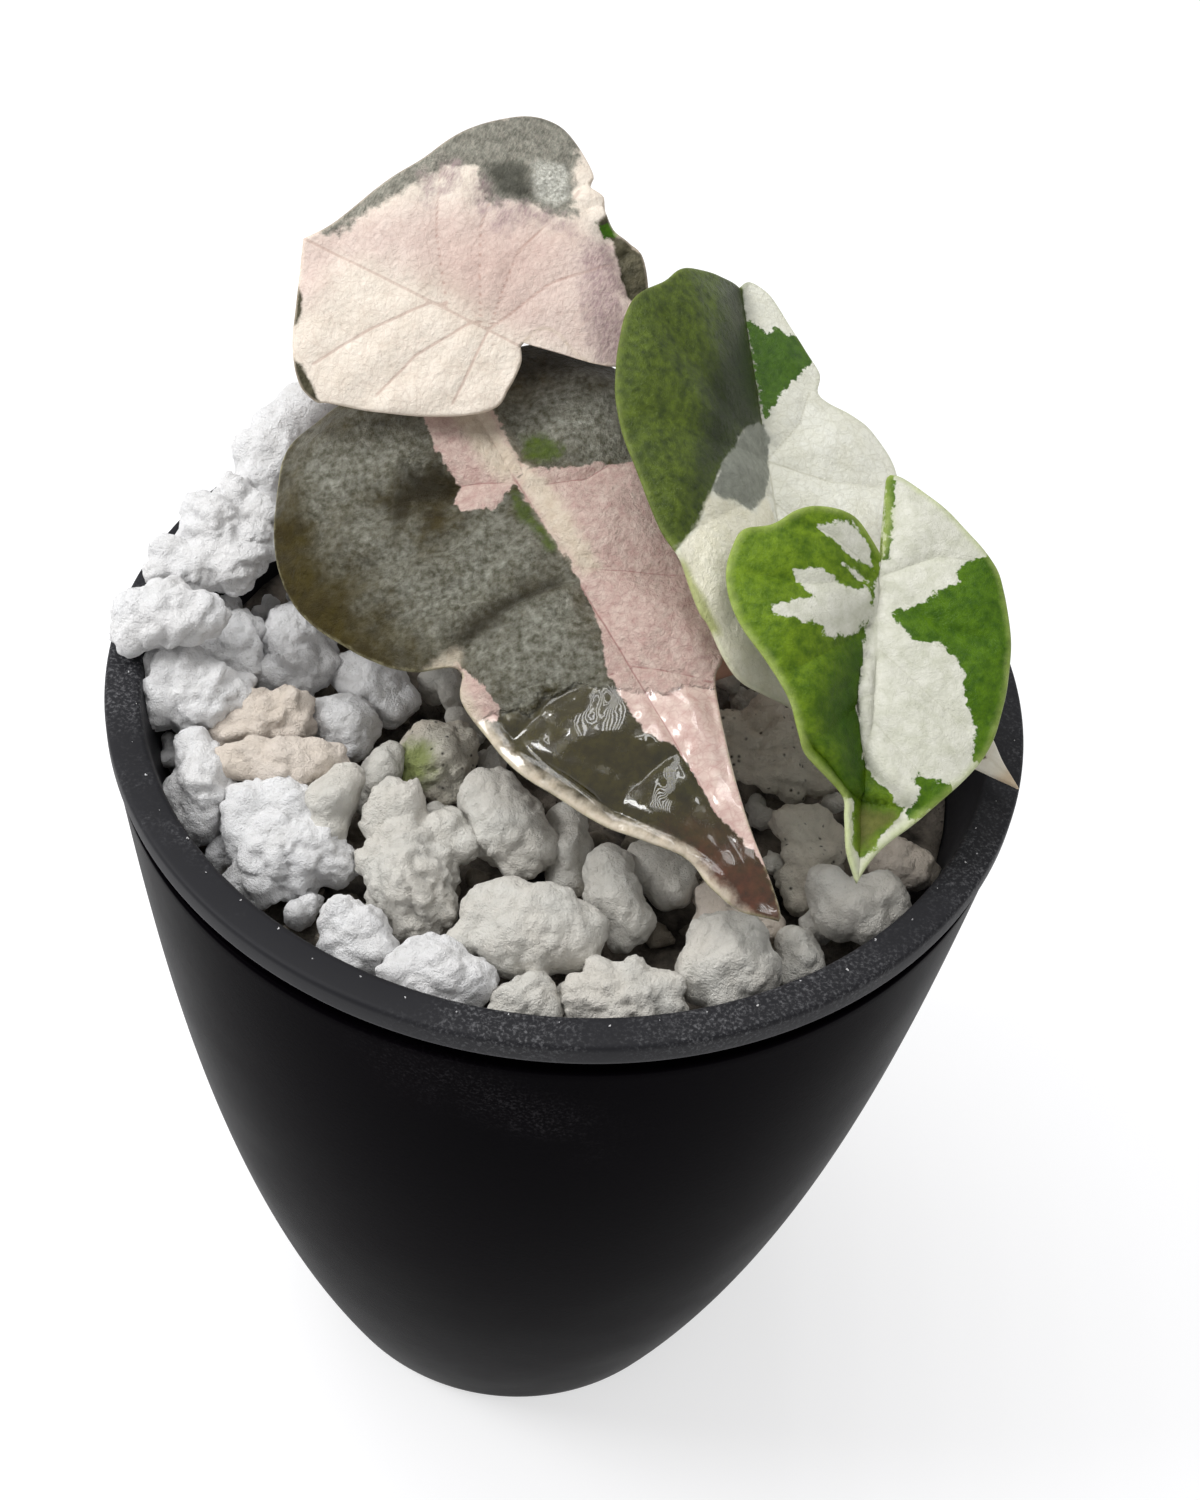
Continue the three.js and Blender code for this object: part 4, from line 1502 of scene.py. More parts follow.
GRAINS: dict[int, Grain] = {
    1: Grain(((-1.9, 0.1, 3.5), (-2.2, -3.2, 3.0), (-1.8, -5.6, 2.1), (0.2, 3.1, 3.6),
              (2.3, 5.8, 3.2), (4.4, 7.6, 2.4)), Texture.SMOOTH, 0.6),
    2: Grain(((1.9, 2.5, 2.3), (-2.0, 0.7, 2.4), (0.4, -1.7, 3.6), (-5.2, -4.4, 2.4),
              (-6.3, -6.5, 1.8), (-2.0, -6.0, 2.9), (1.9, -6.0, 2.9), (4.3, -3.3, 2.7),
              (5.2, 0.4, 2.4)), Texture.CRAGGY, 0.6),
    3: Grain(((-3.4, 0.6, 2.6), (-0.2, 1.2, 3.0), (3.8, 0.4, 2.6), (-3.4, -1.9, 2.0),
              (-5.0, -1.6, 1.2), (1.7, -0.8, 2.2), (0.2, 3.2, 1.3))),
    4: Grain(((-3.3, 2.2, 3.8), (-5.2, -1.0, 3.0), (0.2, -0.8, 3.5), (3.4, 0.0, 1.9),
              (-1.7, -2.8, 1.8)), Texture.CRAGGY),
    5: Grain(((-3.9, -1.5, 1.9), (-0.6, -1.0, 2.6), (0.5, 1.8, 2.3), (1.3, -2.9, 1.9))),
    6: Grain(((-0.9, 0.9, 2.6), (0.0, -1.6, 2.2), (2.8, -2.4, 2.4), (-2.5, -3.6, 2.1),
              (0.0, 2.4, 1.7), (1.4, -4.7, 1.6), (2.9, 0.2, 1.9))),
    7: Grain(((-4.3, -1.0, 2.0), (-1.0, 1.2, 2.2), (2.7, 2.0, 2.2), (3.5, 0.1, 1.9),
              (0.0, -0.2, 1.9), (-4.8, -2.2, 1.2)), Texture.CRAGGY),
    8: Grain(((-5.4, 0.3, 1.8), (-2.3, 0.5, 2.6), (0.9, -0.3, 3.3), (4.1, 0.0, 2.6),
              (5.9, 0.5, 1.5))),
    9: Grain(((0.6, 0.2, 3.2), (-2.7, 1.1, 1.9), (1.4, -2.2, 1.6)), Texture.SMOOTH),
    10: Grain(((-2.8, 1.4, 2.2), (1.3, 0.0, 2.5), (2.2, -2.8, 1.9), (3.6, -1.7, 1.7),
               (-1.4, 2.8, 2.0)), Texture.SMOOTH),
    11: Grain(((0.0, 0.0, 4.2), (2.3, 1.9, 2.4), (-2.3, -1.9, 2.4), (1.8, -2.7, 1.9))),
    12: Grain(((-1.5, 4.5, 1.8), (-1.0, 2.1, 2.1), (-1.5, -1.3, 2.6), (1.3, -0.5, 2.4),
               (0.0, -3.7, 2.5), (-3.1, -2.1, 1.3))),
    13: Grain(((1.5, 2.8, 1.8), (-0.1, 0.5, 2.6), (-0.4, -2.4, 2.1)), Texture.SMOOTH),
    14: Grain(((1.2, 2.3, 1.1), (-0.1, 0.7, 1.6), (-1.6, -1.4, 1.3), (-2.0, -3.3, 1.0)),
              Texture.SMOOTH),
    15: Grain(((-4.1, 4.1, 2.6), (0.3, 4.1, 2.9), (-4.6, 1.7, 1.8), (-1.3, -0.6, 2.6),
               (2.9, -0.9, 3.7), (-2.6, -3.7, 2.9), (-4.9, -4.2, 1.6), (0.8, -3.5, 2.3),
               (5.7, -2.4, 2.1)), Texture.CRAGGY),
    16: Grain(((-1.4, 6.3, 2.8), (-3.6, 4.9, 1.8), (3.9, 4.1, 2.1), (6.0, 2.4, 1.7),
               (-1.1, 1.8, 3.0), (-3.6, 0.7, 2.0), (1.7, -0.4, 3.0), (-1.9, -2.6, 2.5),
               (2.8, -4.3, 2.5), (0.6, -6.2, 1.9)), Texture.CRAGGY),
    17: Grain(((0.8, 0.4, 1.8), (-1.0, -0.8, 1.6))),
    18: Grain(((-1.8, 2.6, 3.4), (0.0, -0.2, 4.2), (2.8, -2.2, 2.8), (1.4, -3.9, 2.0)),
              Texture.SMOOTH),
    19: Grain(((0.0, 2.4, 2.3), (0.5, -0.4, 2.4), (0.3, -3.3, 2.1)), Texture.SMOOTH),
    20: Grain(((-7.0, -1.7, 1.5), (-4.4, 1.3, 2.6), (-2.0, 2.7, 2.4), (-1.4, -1.4, 3.9),
               (2.4, 0.8, 3.3), (4.8, -1.9, 3.0), (6.7, -0.3, 1.9), (0.7, -3.3, 2.4)),
              Texture.SMOOTH),
    21: Grain(((-0.8, 3.3, 2.5), (-0.8, 0.5, 2.6), (1.5, -2.3, 2.5), (0.6, -4.0, 1.4)),
              Texture.SMOOTH),
    22: Grain(((-1.1, 0.8, 3.1), (0.8, -1.1, 2.7)), Texture.SMOOTH),
    23: Grain(((-2.1, 2.2, 2.2), (0.6, 0.8, 2.2), (1.6, -1.3, 2.3), (-0.8, -1.9, 2.2))),
    24: Grain(((-1.6, 1.7, 2.1), (-3.2, -0.2, 2.5), (0.5, 0.1, 3.2), (3.7, -0.7, 2.3),
               (2.1, -2.3, 1.9), (-5.1, -0.5, 1.2))),
    25: Grain(((1.4, 1.1, 2.0), (1.9, -0.5, 2.0), (-1.0, -0.5, 1.6), (-2.4, -1.1, 1.0))),
    26: Grain(((-4.2, 0.3, 2.3), (-1.8, 1.9, 2.1), (1.4, 1.9, 2.1), (-0.7, -1.0, 2.5),
               (2.7, -0.7, 2.4), (4.9, 0.9, 1.5), (5.4, -1.5, 1.3)), Texture.CRAGGY),
    27: Grain(((-1.3, 2.4, 2.8), (1.5, 2.4, 2.8), (-2.6, -0.7, 2.9), (2.0, -0.9, 3.3),
               (-0.6, -2.9, 2.2), (-3.4, -2.6, 1.3)), Texture.SMOOTH),
    28: Grain(((-0.8, 1.4, 1.9), (0.7, -0.9, 1.8), (-1.0, -1.7, 1.8)), Texture.SMOOTH),
    29: Grain(((-2.9, -0.6, 1.6), (-2.4, -3.0, 2.0), (0.4, -2.7, 2.1), (3.6, -3.7, 1.6))),
    30: Grain(((-2.4, 4.1, 1.8), (0.8, 4.4, 1.6), (-0.8, 2.0, 2.1), (2.7, 2.0, 1.6),
               (-0.8, 0.1, 1.9), (-1.8, -2.3, 2.1), (-1.6, -4.1, 1.7)), Texture.CRAGGY),
    31: Grain(((-3.2, 2.0, 2.2), (-1.7, -0.8, 2.9), (1.1, -1.6, 2.5), (2.9, 0.9, 2.5),
               (4.0, -0.3, 1.9), (2.4, -2.6, 1.6)), Texture.SMOOTH),
    32: Grain(((0.3, 1.2, 1.9), (2.4, -0.4, 2.0), (-1.0, -0.1, 1.8), (-2.3, 1.2, 1.5))),
    33: Grain(((-4.9, 2.3, 2.1), (-3.8, -1.0, 2.5), (-0.7, 2.8, 2.8), (-0.5, -1.0, 2.5),
               (2.3, -3.8, 2.2), (3.4, 0.1, 2.2), (5.6, -3.6, 1.9)), Texture.CRAGGY),
}


@dataclass(frozen=True)
class Perlite:
    """The fill: a packed bed, the separate grains on it, small ones between, crumbs on the lip."""

    beds: tuple[float, float] = (14.3, 108.0)
    bed_radii: tuple[float, float] = (29.2, 45.9)
    bed_rings: int = 26
    bed_segments: int = 120
    bed_unevenness: float = 0.9
    bed_lump: float = 3.5
    fillers: int = 6
    filler_voxel: float = 0.9
    filler_spacing: float = 4.6
    filler_sizes: tuple[float, float] = (1.7, 3.0)
    filler_radii: tuple[float, float] = (0.1, 42.0)
    filler_depth: float = 0.4
    filler_seed: int = 11
    bare: tuple[Point3, ...] = ((4.0, 9.0, 9.0), (38.0, -8.0, 9.0), (14.0, -33.0, 6.0),
                                (27.0, -25.0, 4.0))
    crumb_spacing: float = 5.0
    crumb_sizes: tuple[float, float] = (0.05, 0.2)
    crumb_seed: int = 5
    lip_radii: tuple[float, float] = (48.9, 52.2)
    lip_top: float = 120.5
    stained: tuple[int, ...] = (11, 30, 33)
    beige: tuple[int, ...] = (7, 8, 29, 32)
    # grains at the front and right, which take the painted-shade copy of the white finish
    shaded: tuple[int, ...] = (13, 14, 16, 17, 18, 19, 20, 21, 22, 25, 26, 27, 28, 31)
    pebbles: tuple[tuple[float, float, float, float], ...] = (
        (-37.2, 11.4, 114.8, 2.5), (-41.8, 11.6, 113.8, 2.1), (-14.8, 2.9, 111.8, 3.6),
        (-44.2, -9.5, 110.2, 2.4), (-36.4, -23.4, 109.6, 2.5), (-26.6, -30.4, 110.0, 2.8),
        (-8.4, -6.1, 110.8, 2.7), (-12.8, -14.1, 110.0, 2.2), (19.1, 10.3, 112.0, 2.4),
        (23.1, -8.6, 109.6, 2.6), (32.0, -8.7, 111.0, 2.5), (24.6, -18.1, 111.8, 1.8),
        (29.6, -25.5, 109.4, 2.8), (-32.8, 16.9, 118.6, 2.6), (-37.2, 7.0, 111.0, 2.0),
        (-11.2, -1.2, 111.0, 3.0), (21.4, 8.8, 109.6, 2.2), (15.8, 3.5, 111.4, 2.6),
        (-7.8, -27.0, 109.6, 1.8), (-36.5, 15.5, 121.0, 3.4), (-31.5, 14.0, 117.5, 3.0),
        (-41.0, 6.5, 117.5, 2.6),
    )

    # most painted shade that a crease takes
    CREASE_SHADE_SHARE = 0.16
    HIDDEN_LOBES = 9
    GRAIN_STEP = 7.3
    PEBBLE_SIDES = (0.85, 1.15)
    PEBBLE_LOBES = 7
    PEBBLE_VOXEL = 0.5
    PEBBLE_STEP = 3.1
    # pebbles right of this x, in mm, take the painted-shade copy
    SHADED_FROM = -25
    MODEL_RADIUS = 3.0
    MODEL_SIDES = (0.8, 1.2)
    MODEL_LOBES = 8
    MODEL_STEP = 5.7

    WHITE = PerliteFinish("perlite_white", "EFEFF0", "9E9C95", 0.10, 0.06, 0.16)
    # painted shade: a greyer copy of WHITE for grains at the front and right; the algae are real
    SHADED = PerliteFinish("perlite_shaded", "DAD8D1", "7E796B", 0.25, 0.06, 0.16,
                         (((-12.0, -35.0, 117.0), 1.6), ((-8.1, -26.4, 111.0), 2.2)))
    BEIGE = PerliteFinish("perlite_beige", "E6DBD0", "A99C8C", 0.6, 0.10, 0.16)
    STAINED = PerliteFinish("perlite_dirty", "DDD8CA", "6E6753", 0.5, 0.5, 0.3,
                            (((-17.2, -12.0, 115.0), 4.0),))
    # painted shade: small grains between the large ones, dark grey as they look in deep shade
    DEEP_SHADE = PerliteFinish("perlite_deep_shade", "6A655A", "2C2822", 0.5, 0.3, 0.3)
    # painted shadow: the bed is near black, as the gaps between the grains look, though it is
    # perlite
    BED_SHADOW = PerliteFinish("perlite_bed_shadow", "0E0C0A", "060504", 0.5, 0.3, 0.3)

    def build(self, frame: dict, effects: Effects) -> None:
        """Makes the fill.

        Args:
            effects: The shared node groups.
        """
        white = self.WHITE.build(effects)
        # painted shade for the grains at the front and right
        shaded = self.SHADED.build(effects)
        finishes = {number: shaded for number in self.shaded}
        finishes.update(dict.fromkeys(self.stained, self.STAINED.build(effects)))
        finishes.update(dict.fromkeys(self.beige, self.BEIGE.build(effects)))
        self._bed(self.BED_SHADOW.build(effects))
        for node in sorted(name for name in frame["nodes"] if name[-2:].isdigit()):
            number = int(node[-2:])
            slot = Slot.STAINED if number in self.stained else Slot.PERLITE
            self._grain(frame, node, finishes.get(number, white), slot)
        self._pebbles(white, shaded)
        models = self._models(white)
        self._fill_between(models, self.DEEP_SHADE.build(effects))
        self._crumbs(models, white)
        for model in models:
            bpy.data.objects.remove(model)

    def _bed(self, material: bpy.types.Material) -> None:
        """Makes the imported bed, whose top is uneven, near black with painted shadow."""
        (bottom, top), (low_radius, high_radius) = self.beds, self.bed_radii
        profile = [(0.0, bottom), (low_radius, bottom)]
        profile += [(high_radius * share, top) for share in
                    np.linspace(1, 0, self.bed_rings)]
        made = lathe("perlite_bed_fill", profile, self.bed_segments, material)
        for vertex in made.data.vertices:
            if vertex.co.z > top * MM * 0.99:
                lift = noise.noise(vertex.co / (self.bed_lump * MM))
                lift += 0.6 * noise.noise(vertex.co / MM)
                vertex.co.z += (lift * self.bed_unevenness - self.bed_unevenness) * MM
        set_field(made.data, CREASE_SHADE_FIELD, np.zeros(len(made.data.vertices)))
        hand_over(made, Slot.PERLITE, "perlite_bed")

    def _grain(self, frame: dict, node: str, material: bpy.types.Material,
               slot: Slot) -> None:
        """Makes one separate grain in the place of its CAD node.

        Args:
            node: The node.
            material: The material.
            slot: The record's slot.
        """
        number = int(node[-2:])
        grain = GRAINS.get(number, Grain(texture=Texture.CRAGGY))
        low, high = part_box(node)
        middle, half = (low + high) / 2 / MM, (high - low) / 2 / MM
        lobes = grain.middles()
        if not lobes:
            lobes = Grain.chance(np.random.default_rng(number), np.array(half),
                                 self.HIDDEN_LOBES)
        core = bmesh.new()
        core.from_mesh(frame["nodes"][node].data)
        bmesh.ops.remove_doubles(core, verts=core.verts, dist=1e-6)
        for vertex in core.verts:
            vertex.co = (vertex.co / MM - middle) * grain.core
        points, faces = grain.mesh(lobes, core, Grain.VOXEL)
        points, deep = grain.roughened(points, np.array(middle), number * self.GRAIN_STEP)
        made = make_object(node.replace("perlite", "grain"), points, faces, material)
        set_field(made.data, CREASE_SHADE_FIELD, self.CREASE_SHADE_SHARE * deep)
        hand_over(made, slot, node)

    def _pebbles(self, white: bpy.types.Material, shaded: bpy.types.Material) -> None:
        """Makes the small grains that show between the large ones, each in its own place.

        Args:
            white: The material at the left.
            shaded: The painted-shade copy of the white material, for the others.
        """
        rng = np.random.default_rng(self.filler_seed)
        grain = Grain()
        for number, (x, y, z, radius) in enumerate(self.pebbles, 1):
            half = radius * rng.uniform(*self.PEBBLE_SIDES, 3)
            lobes = Grain.chance(rng, half, self.PEBBLE_LOBES)
            points, faces = grain.mesh(lobes, None, self.PEBBLE_VOXEL)
            points, deep = grain.roughened(points, np.array((x, y, z)),
                                           number * self.PEBBLE_STEP)
            # pebbles at the front and right take the painted-shade copy
            made = make_object(f"pebble_{number:02d}", points, faces,
                               white if x < self.SHADED_FROM else shaded)
            set_field(made.data, CREASE_SHADE_FIELD, self.CREASE_SHADE_SHARE * deep)
            hand_over(made, Slot.PERLITE)

    def _models(self, material: bpy.types.Material) -> list[bpy.types.Object]:
        """Makes the small grains that the scatters repeat, about one millimetre in radius.

        Args:
            material: The material.

        Returns:
            The models.
        """
        rng = np.random.default_rng(self.filler_seed)
        grain = Grain()
        models = []
        for number in range(self.fillers):
            half = self.MODEL_RADIUS * rng.uniform(*self.MODEL_SIDES, 3)
            lobes = Grain.chance(rng, half, self.MODEL_LOBES)
            points, faces = grain.mesh(lobes, None, self.filler_voxel)
            points, _ = grain.roughened(points, np.zeros(3), number * self.MODEL_STEP)
            models.append(make_object(f"model_{number}", points / self.MODEL_RADIUS, faces,
                                      material))
        return models

    def _scatter(self, name: str, ground: bpy.types.Object, models: list[bpy.types.Object],
                 material: bpy.types.Material, spacing: float, smallest: float,
                 largest: float, seed: int) -> bpy.types.Object:
        """Scatters grains over a ground with geometry nodes.

        Args:
            name: The object's name.
            ground: Where they lie. It is removed.
            models: Grains of 1 mm radius.
            material: The material.
            spacing: Least distance between two, in mm.
            smallest: Least radius, in mm.
            largest: Greatest radius, in mm.
            seed: Seed of the scatter.

        Returns:
            The scattered grains.
        """
        tree = GeometryTree(f"Scatter {name}", {
            "Spacing": ("NodeSocketFloat", spacing * MM),
            "Smallest": ("NodeSocketFloat", smallest),
            "Largest": ("NodeSocketFloat", largest),
            "Seed": ("NodeSocketInt", seed),
        })
        graph, inlet = tree.graph, tree.inlet.outputs
        spread = graph.add("GeometryNodeDistributePointsOnFaces", distribute_method="POISSON")
        graph.feed(spread.inputs["Mesh"], inlet["Geometry"])
        graph.feed(spread.inputs["Distance Min"], inlet["Spacing"])
        graph.feed(spread.inputs["Density Max"], 1e8)
        graph.feed(spread.inputs["Seed"], inlet["Seed"])
        pool = graph.add("GeometryNodeGeometryToInstance")
        for model in models:
            info = graph.add("GeometryNodeObjectInfo")
            info.inputs["Object"].default_value = model
            graph.tree.links.new(info.outputs["Geometry"], pool.inputs[0])
        turn = graph.add("FunctionNodeRandomValue", data_type="FLOAT_VECTOR")
        turn.inputs[1].default_value = (math.tau, math.tau, math.tau)
        graph.feed(turn.inputs["Seed"], inlet["Seed"])
        size = graph.add("FunctionNodeRandomValue", data_type="FLOAT")
        graph.feed(size.inputs[2], inlet["Smallest"])
        graph.feed(size.inputs[3], inlet["Largest"])
        graph.feed(size.inputs["Seed"], inlet["Seed"])
        laid = graph.add("GeometryNodeInstanceOnPoints")
        laid.inputs["Pick Instance"].default_value = True
        graph.feed(laid.inputs["Points"], spread.outputs["Points"])
        graph.feed(laid.inputs["Instance"], pool.outputs[0])
        graph.feed(laid.inputs["Rotation"], turn.outputs[0])
        graph.feed(laid.inputs["Scale"], size.outputs[1])
        tree.close(laid.outputs["Instances"], material)
        made = tree.bake(name, ground)
        set_field(made.data, CREASE_SHADE_FIELD, np.zeros(len(made.data.vertices)))
        return made

    def _ring_ground(self, name: str, radii: tuple[float, float], height: float,
                     rings: int, segments: int, holes: Sequence[tuple[float, float, float]],
                     material: bpy.types.Material) -> bpy.types.Object:
        """Makes a flat ring to scatter on.

        Args:
            name: The object's name.
            radii: Inner and outer radius, in mm.
            height: Its height, in mm.
            rings: Rows of faces.
            segments: Faces to a row.
            holes: x, y and radius of places that stay bare, in mm.
            material: The material.

        Returns:
            The ground.
        """
        vertices = []
        for radius in np.linspace(*radii, rings + 1):
            for s in range(segments):
                angle = math.tau * s / segments
                vertices.append((radius * math.cos(angle), radius * math.sin(angle), height))
        faces = []
        for r in range(rings):
            for s in range(segments):
                a, b = r * segments + s, r * segments + (s + 1) % segments
                x, y, _ = vertices[a]
                if all(math.hypot(x - hx, y - hy) > size for hx, hy, size in holes):
                    faces.append((a, b, b + segments, a + segments))
        return make_object(name, np.array(vertices), faces, material)

    def _fill_between(self, models: list[bpy.types.Object],
                      material: bpy.types.Material) -> None:
        """Lays small grains on the bed, between the large ones, dark grey with painted shade."""
        ground = self._ring_ground("filler_ground", self.filler_radii,
                                   self.beds[1] - self.filler_depth, 22, 72, self.bare, material)
        made = self._scatter("small_grains", ground, models, material, self.filler_spacing,
                             *self.filler_sizes, self.filler_seed)
        hand_over(made, Slot.PERLITE)

    def _crumbs(self, models: list[bpy.types.Object], material: bpy.types.Material) -> None:
        """Lays crumbs on the liner's lip."""
        ground = self._ring_ground("crumb_ground", self.lip_radii, self.lip_top + 0.02, 2, 120,
                                   (), material)
        made = self._scatter("lip_crumbs", ground, models[:1], material, self.crumb_spacing,
                             *self.crumb_sizes, self.crumb_seed)
        hand_over(made, Slot.PERLITE)


@dataclass(frozen=True)
class Stem:
    """A round stem that follows a path in mm and thins from base to tip."""

    name: str
    node: str
    path: tuple[Point3, ...]
    base: float
    tip: float
    flare: float = 0.0
    sides: int = 24
    steps: int = 60

    HEAD = (0.88, 1.0)
    FOOT = (0.14, 0.0)

    def build(self, material: bpy.types.Material, slot: Slot) -> None:
        """Makes the stem with geometry nodes.

        Args:
            material: The material.
            slot: The record's slot.
        """
        points = smooth_path(np.array(self.path), self.steps)
        carrier = make_object(f"{self.name}_path", points, [], material)
        carrier.data.edges.add(len(points) - 1)
        pairs = [value for i in range(len(points) - 1) for value in (i, i + 1)]
        carrier.data.edges.foreach_set("vertices", pairs)
        tree = GeometryTree(f"Stem {self.name}", {
            "Base Radius": ("NodeSocketFloat", self.base * MM),
            "Tip Radius": ("NodeSocketFloat", self.tip * MM),
            "Flare": ("NodeSocketFloat", self.flare * MM),
            "Sides": ("NodeSocketInt", self.sides),
        })
        graph, inlet = tree.graph, tree.inlet.outputs
        curve = graph.add("GeometryNodeMeshToCurve")
        graph.feed(curve.inputs["Mesh"], inlet["Geometry"])
        share = graph.add("GeometryNodeSplineParameter").outputs["Factor"]
        fall = graph.math("SUBTRACT", inlet["Tip Radius"], inlet["Base Radius"])
        radius = graph.math("ADD", inlet["Base Radius"], graph.math("MULTIPLY", share, fall))
        ends = graph.math("ADD", graph.step(share, *self.HEAD), graph.step(share, *self.FOOT))
        radius = graph.math("ADD", radius, graph.math("MULTIPLY", ends, inlet["Flare"]))
        sized = graph.add("GeometryNodeSetCurveRadius")
        graph.feed(sized.inputs["Curve"], curve.outputs[0])
        graph.feed(sized.inputs["Radius"], radius)
        ring = graph.add("GeometryNodeCurvePrimitiveCircle")
        graph.feed(ring.inputs["Resolution"], inlet["Sides"])
        ring.inputs["Radius"].default_value = 1.0
        tube = graph.add("GeometryNodeCurveToMesh")
        graph.feed(tube.inputs["Curve"], sized.outputs[0])
        graph.feed(tube.inputs["Profile Curve"], ring.outputs[0])
        if "Scale" in tube.inputs:
            graph.feed(tube.inputs["Scale"], radius)
        tube.inputs["Fill Caps"].default_value = True
        tree.close(tube.outputs[0], material)
        made = tree.bake(self.name, carrier)
        outward(made)
        hand_over(made, slot, self.node)


def smooth_path(points: np.ndarray, steps: int) -> np.ndarray:
    """Draws a smooth curve through points.

    Args:
        points: The points, one row each.
        steps: Even steps along the curve.

    Returns:
        Points along the curve, one more than the steps.
    """
    padded = np.vstack((points[:1], points, points[-1:]))
    dense = []
    for i in range(len(points) - 1):
        p0, p1, p2, p3 = padded[i:i + 4]
        for t in np.linspace(0, 1, 24, endpoint=False):
            v0, v1 = (p2 - p0) / 2, (p3 - p1) / 2
            dense.append((2 * p1 - 2 * p2 + v0 + v1) * t ** 3
                         + (3 * p2 - 3 * p1 - 2 * v0 - v1) * t ** 2 + v0 * t + p1)
    dense.append(points[-1])
    line = np.array(dense)
    length = np.concatenate(([0], np.cumsum(np.linalg.norm(np.diff(line, axis=0), axis=1))))
    at = np.linspace(0, length[-1], steps + 1)
    return np.column_stack([np.interp(at, length, line[:, k]) for k in range(line.shape[1])])


def line_distance(points: np.ndarray, line: Sequence[Point2]) -> np.ndarray:
    """Measures how far points lie from a line of straight pieces.

    Args:
        points: One row of u, v for each point.
        line: Corners of the line.

    Returns:
        The distances.
    """
    best = np.full(len(points), np.inf)
    corners = np.array(line, dtype=float)
    for start, end in zip(corners[:-1], corners[1:]):
        along = end - start
        share = np.clip((points - start) @ along / max(along @ along, 1e-12), 0, 1)
        best = np.minimum(best, np.linalg.norm(points - start - share[:, None] * along, axis=1))
    return best


def depth_inside(points: np.ndarray, outline: Sequence[Point2]) -> np.ndarray:
    """Measures how far points lie inside an outline, below zero outside it.

    Args:
        points: One row of u, v for each point.
        outline: Corners of the outline.

    Returns:
        The depths.
    """
    closed = [*outline, outline[0]]
    distance = line_distance(points, closed)
    inside = np.zeros(len(points), dtype=bool)
    for (u1, v1), (u2, v2) in zip(closed[:-1], closed[1:]):
        if v1 == v2:
            continue
        crosses = (points[:, 1] > min(v1, v2)) & (points[:, 1] <= max(v1, v2))
        at = u1 + (points[:, 1] - v1) * (u2 - u1) / (v2 - v1)
        inside ^= crosses & (points[:, 0] < at)
    return np.where(inside, distance, -distance)


@dataclass(frozen=True)
class Crease:
    """A line along which a blade dips, often wide on one side and steep on the other.

    line runs through points u, v in mm. depth is below zero for a ridge. left and right are how
    far the dip reaches, in mm, to each side as one goes along the line.
    """

    line: Outline
    depth: float
    left: float
    right: float

    FADE = 0.16
    STEPS = 40

    def drop(self, flat: np.ndarray) -> np.ndarray:
        """Gives how far the crease lowers each point, in mm."""
        line = smooth_path(np.array(self.line, dtype=float), self.STEPS)
        nearest = np.full(len(flat), np.inf)
        reach = np.full(len(flat), self.left)
        strength = np.zeros(len(flat))
        for number, (start, end) in enumerate(zip(line[:-1], line[1:])):
            along = end - start
            share = np.clip((flat - start) @ along / (along @ along), 0, 1)
            away = flat - start - share[:, None] * along
            distance = np.linalg.norm(away, axis=1)
            side = np.where(along[0] * away[:, 1] > along[1] * away[:, 0], self.left, self.right)
            at = (number + share) / self.STEPS
            fade = np.clip(np.minimum(at, 1 - at) / self.FADE, 0, 1)
            closer = distance < nearest
            nearest = np.where(closer, distance, nearest)
            reach = np.where(closer, side, reach)
            strength = np.where(closer, fade * fade * (3 - 2 * fade), strength)
        return self.depth * strength * np.exp(-(nearest / reach) ** 2)


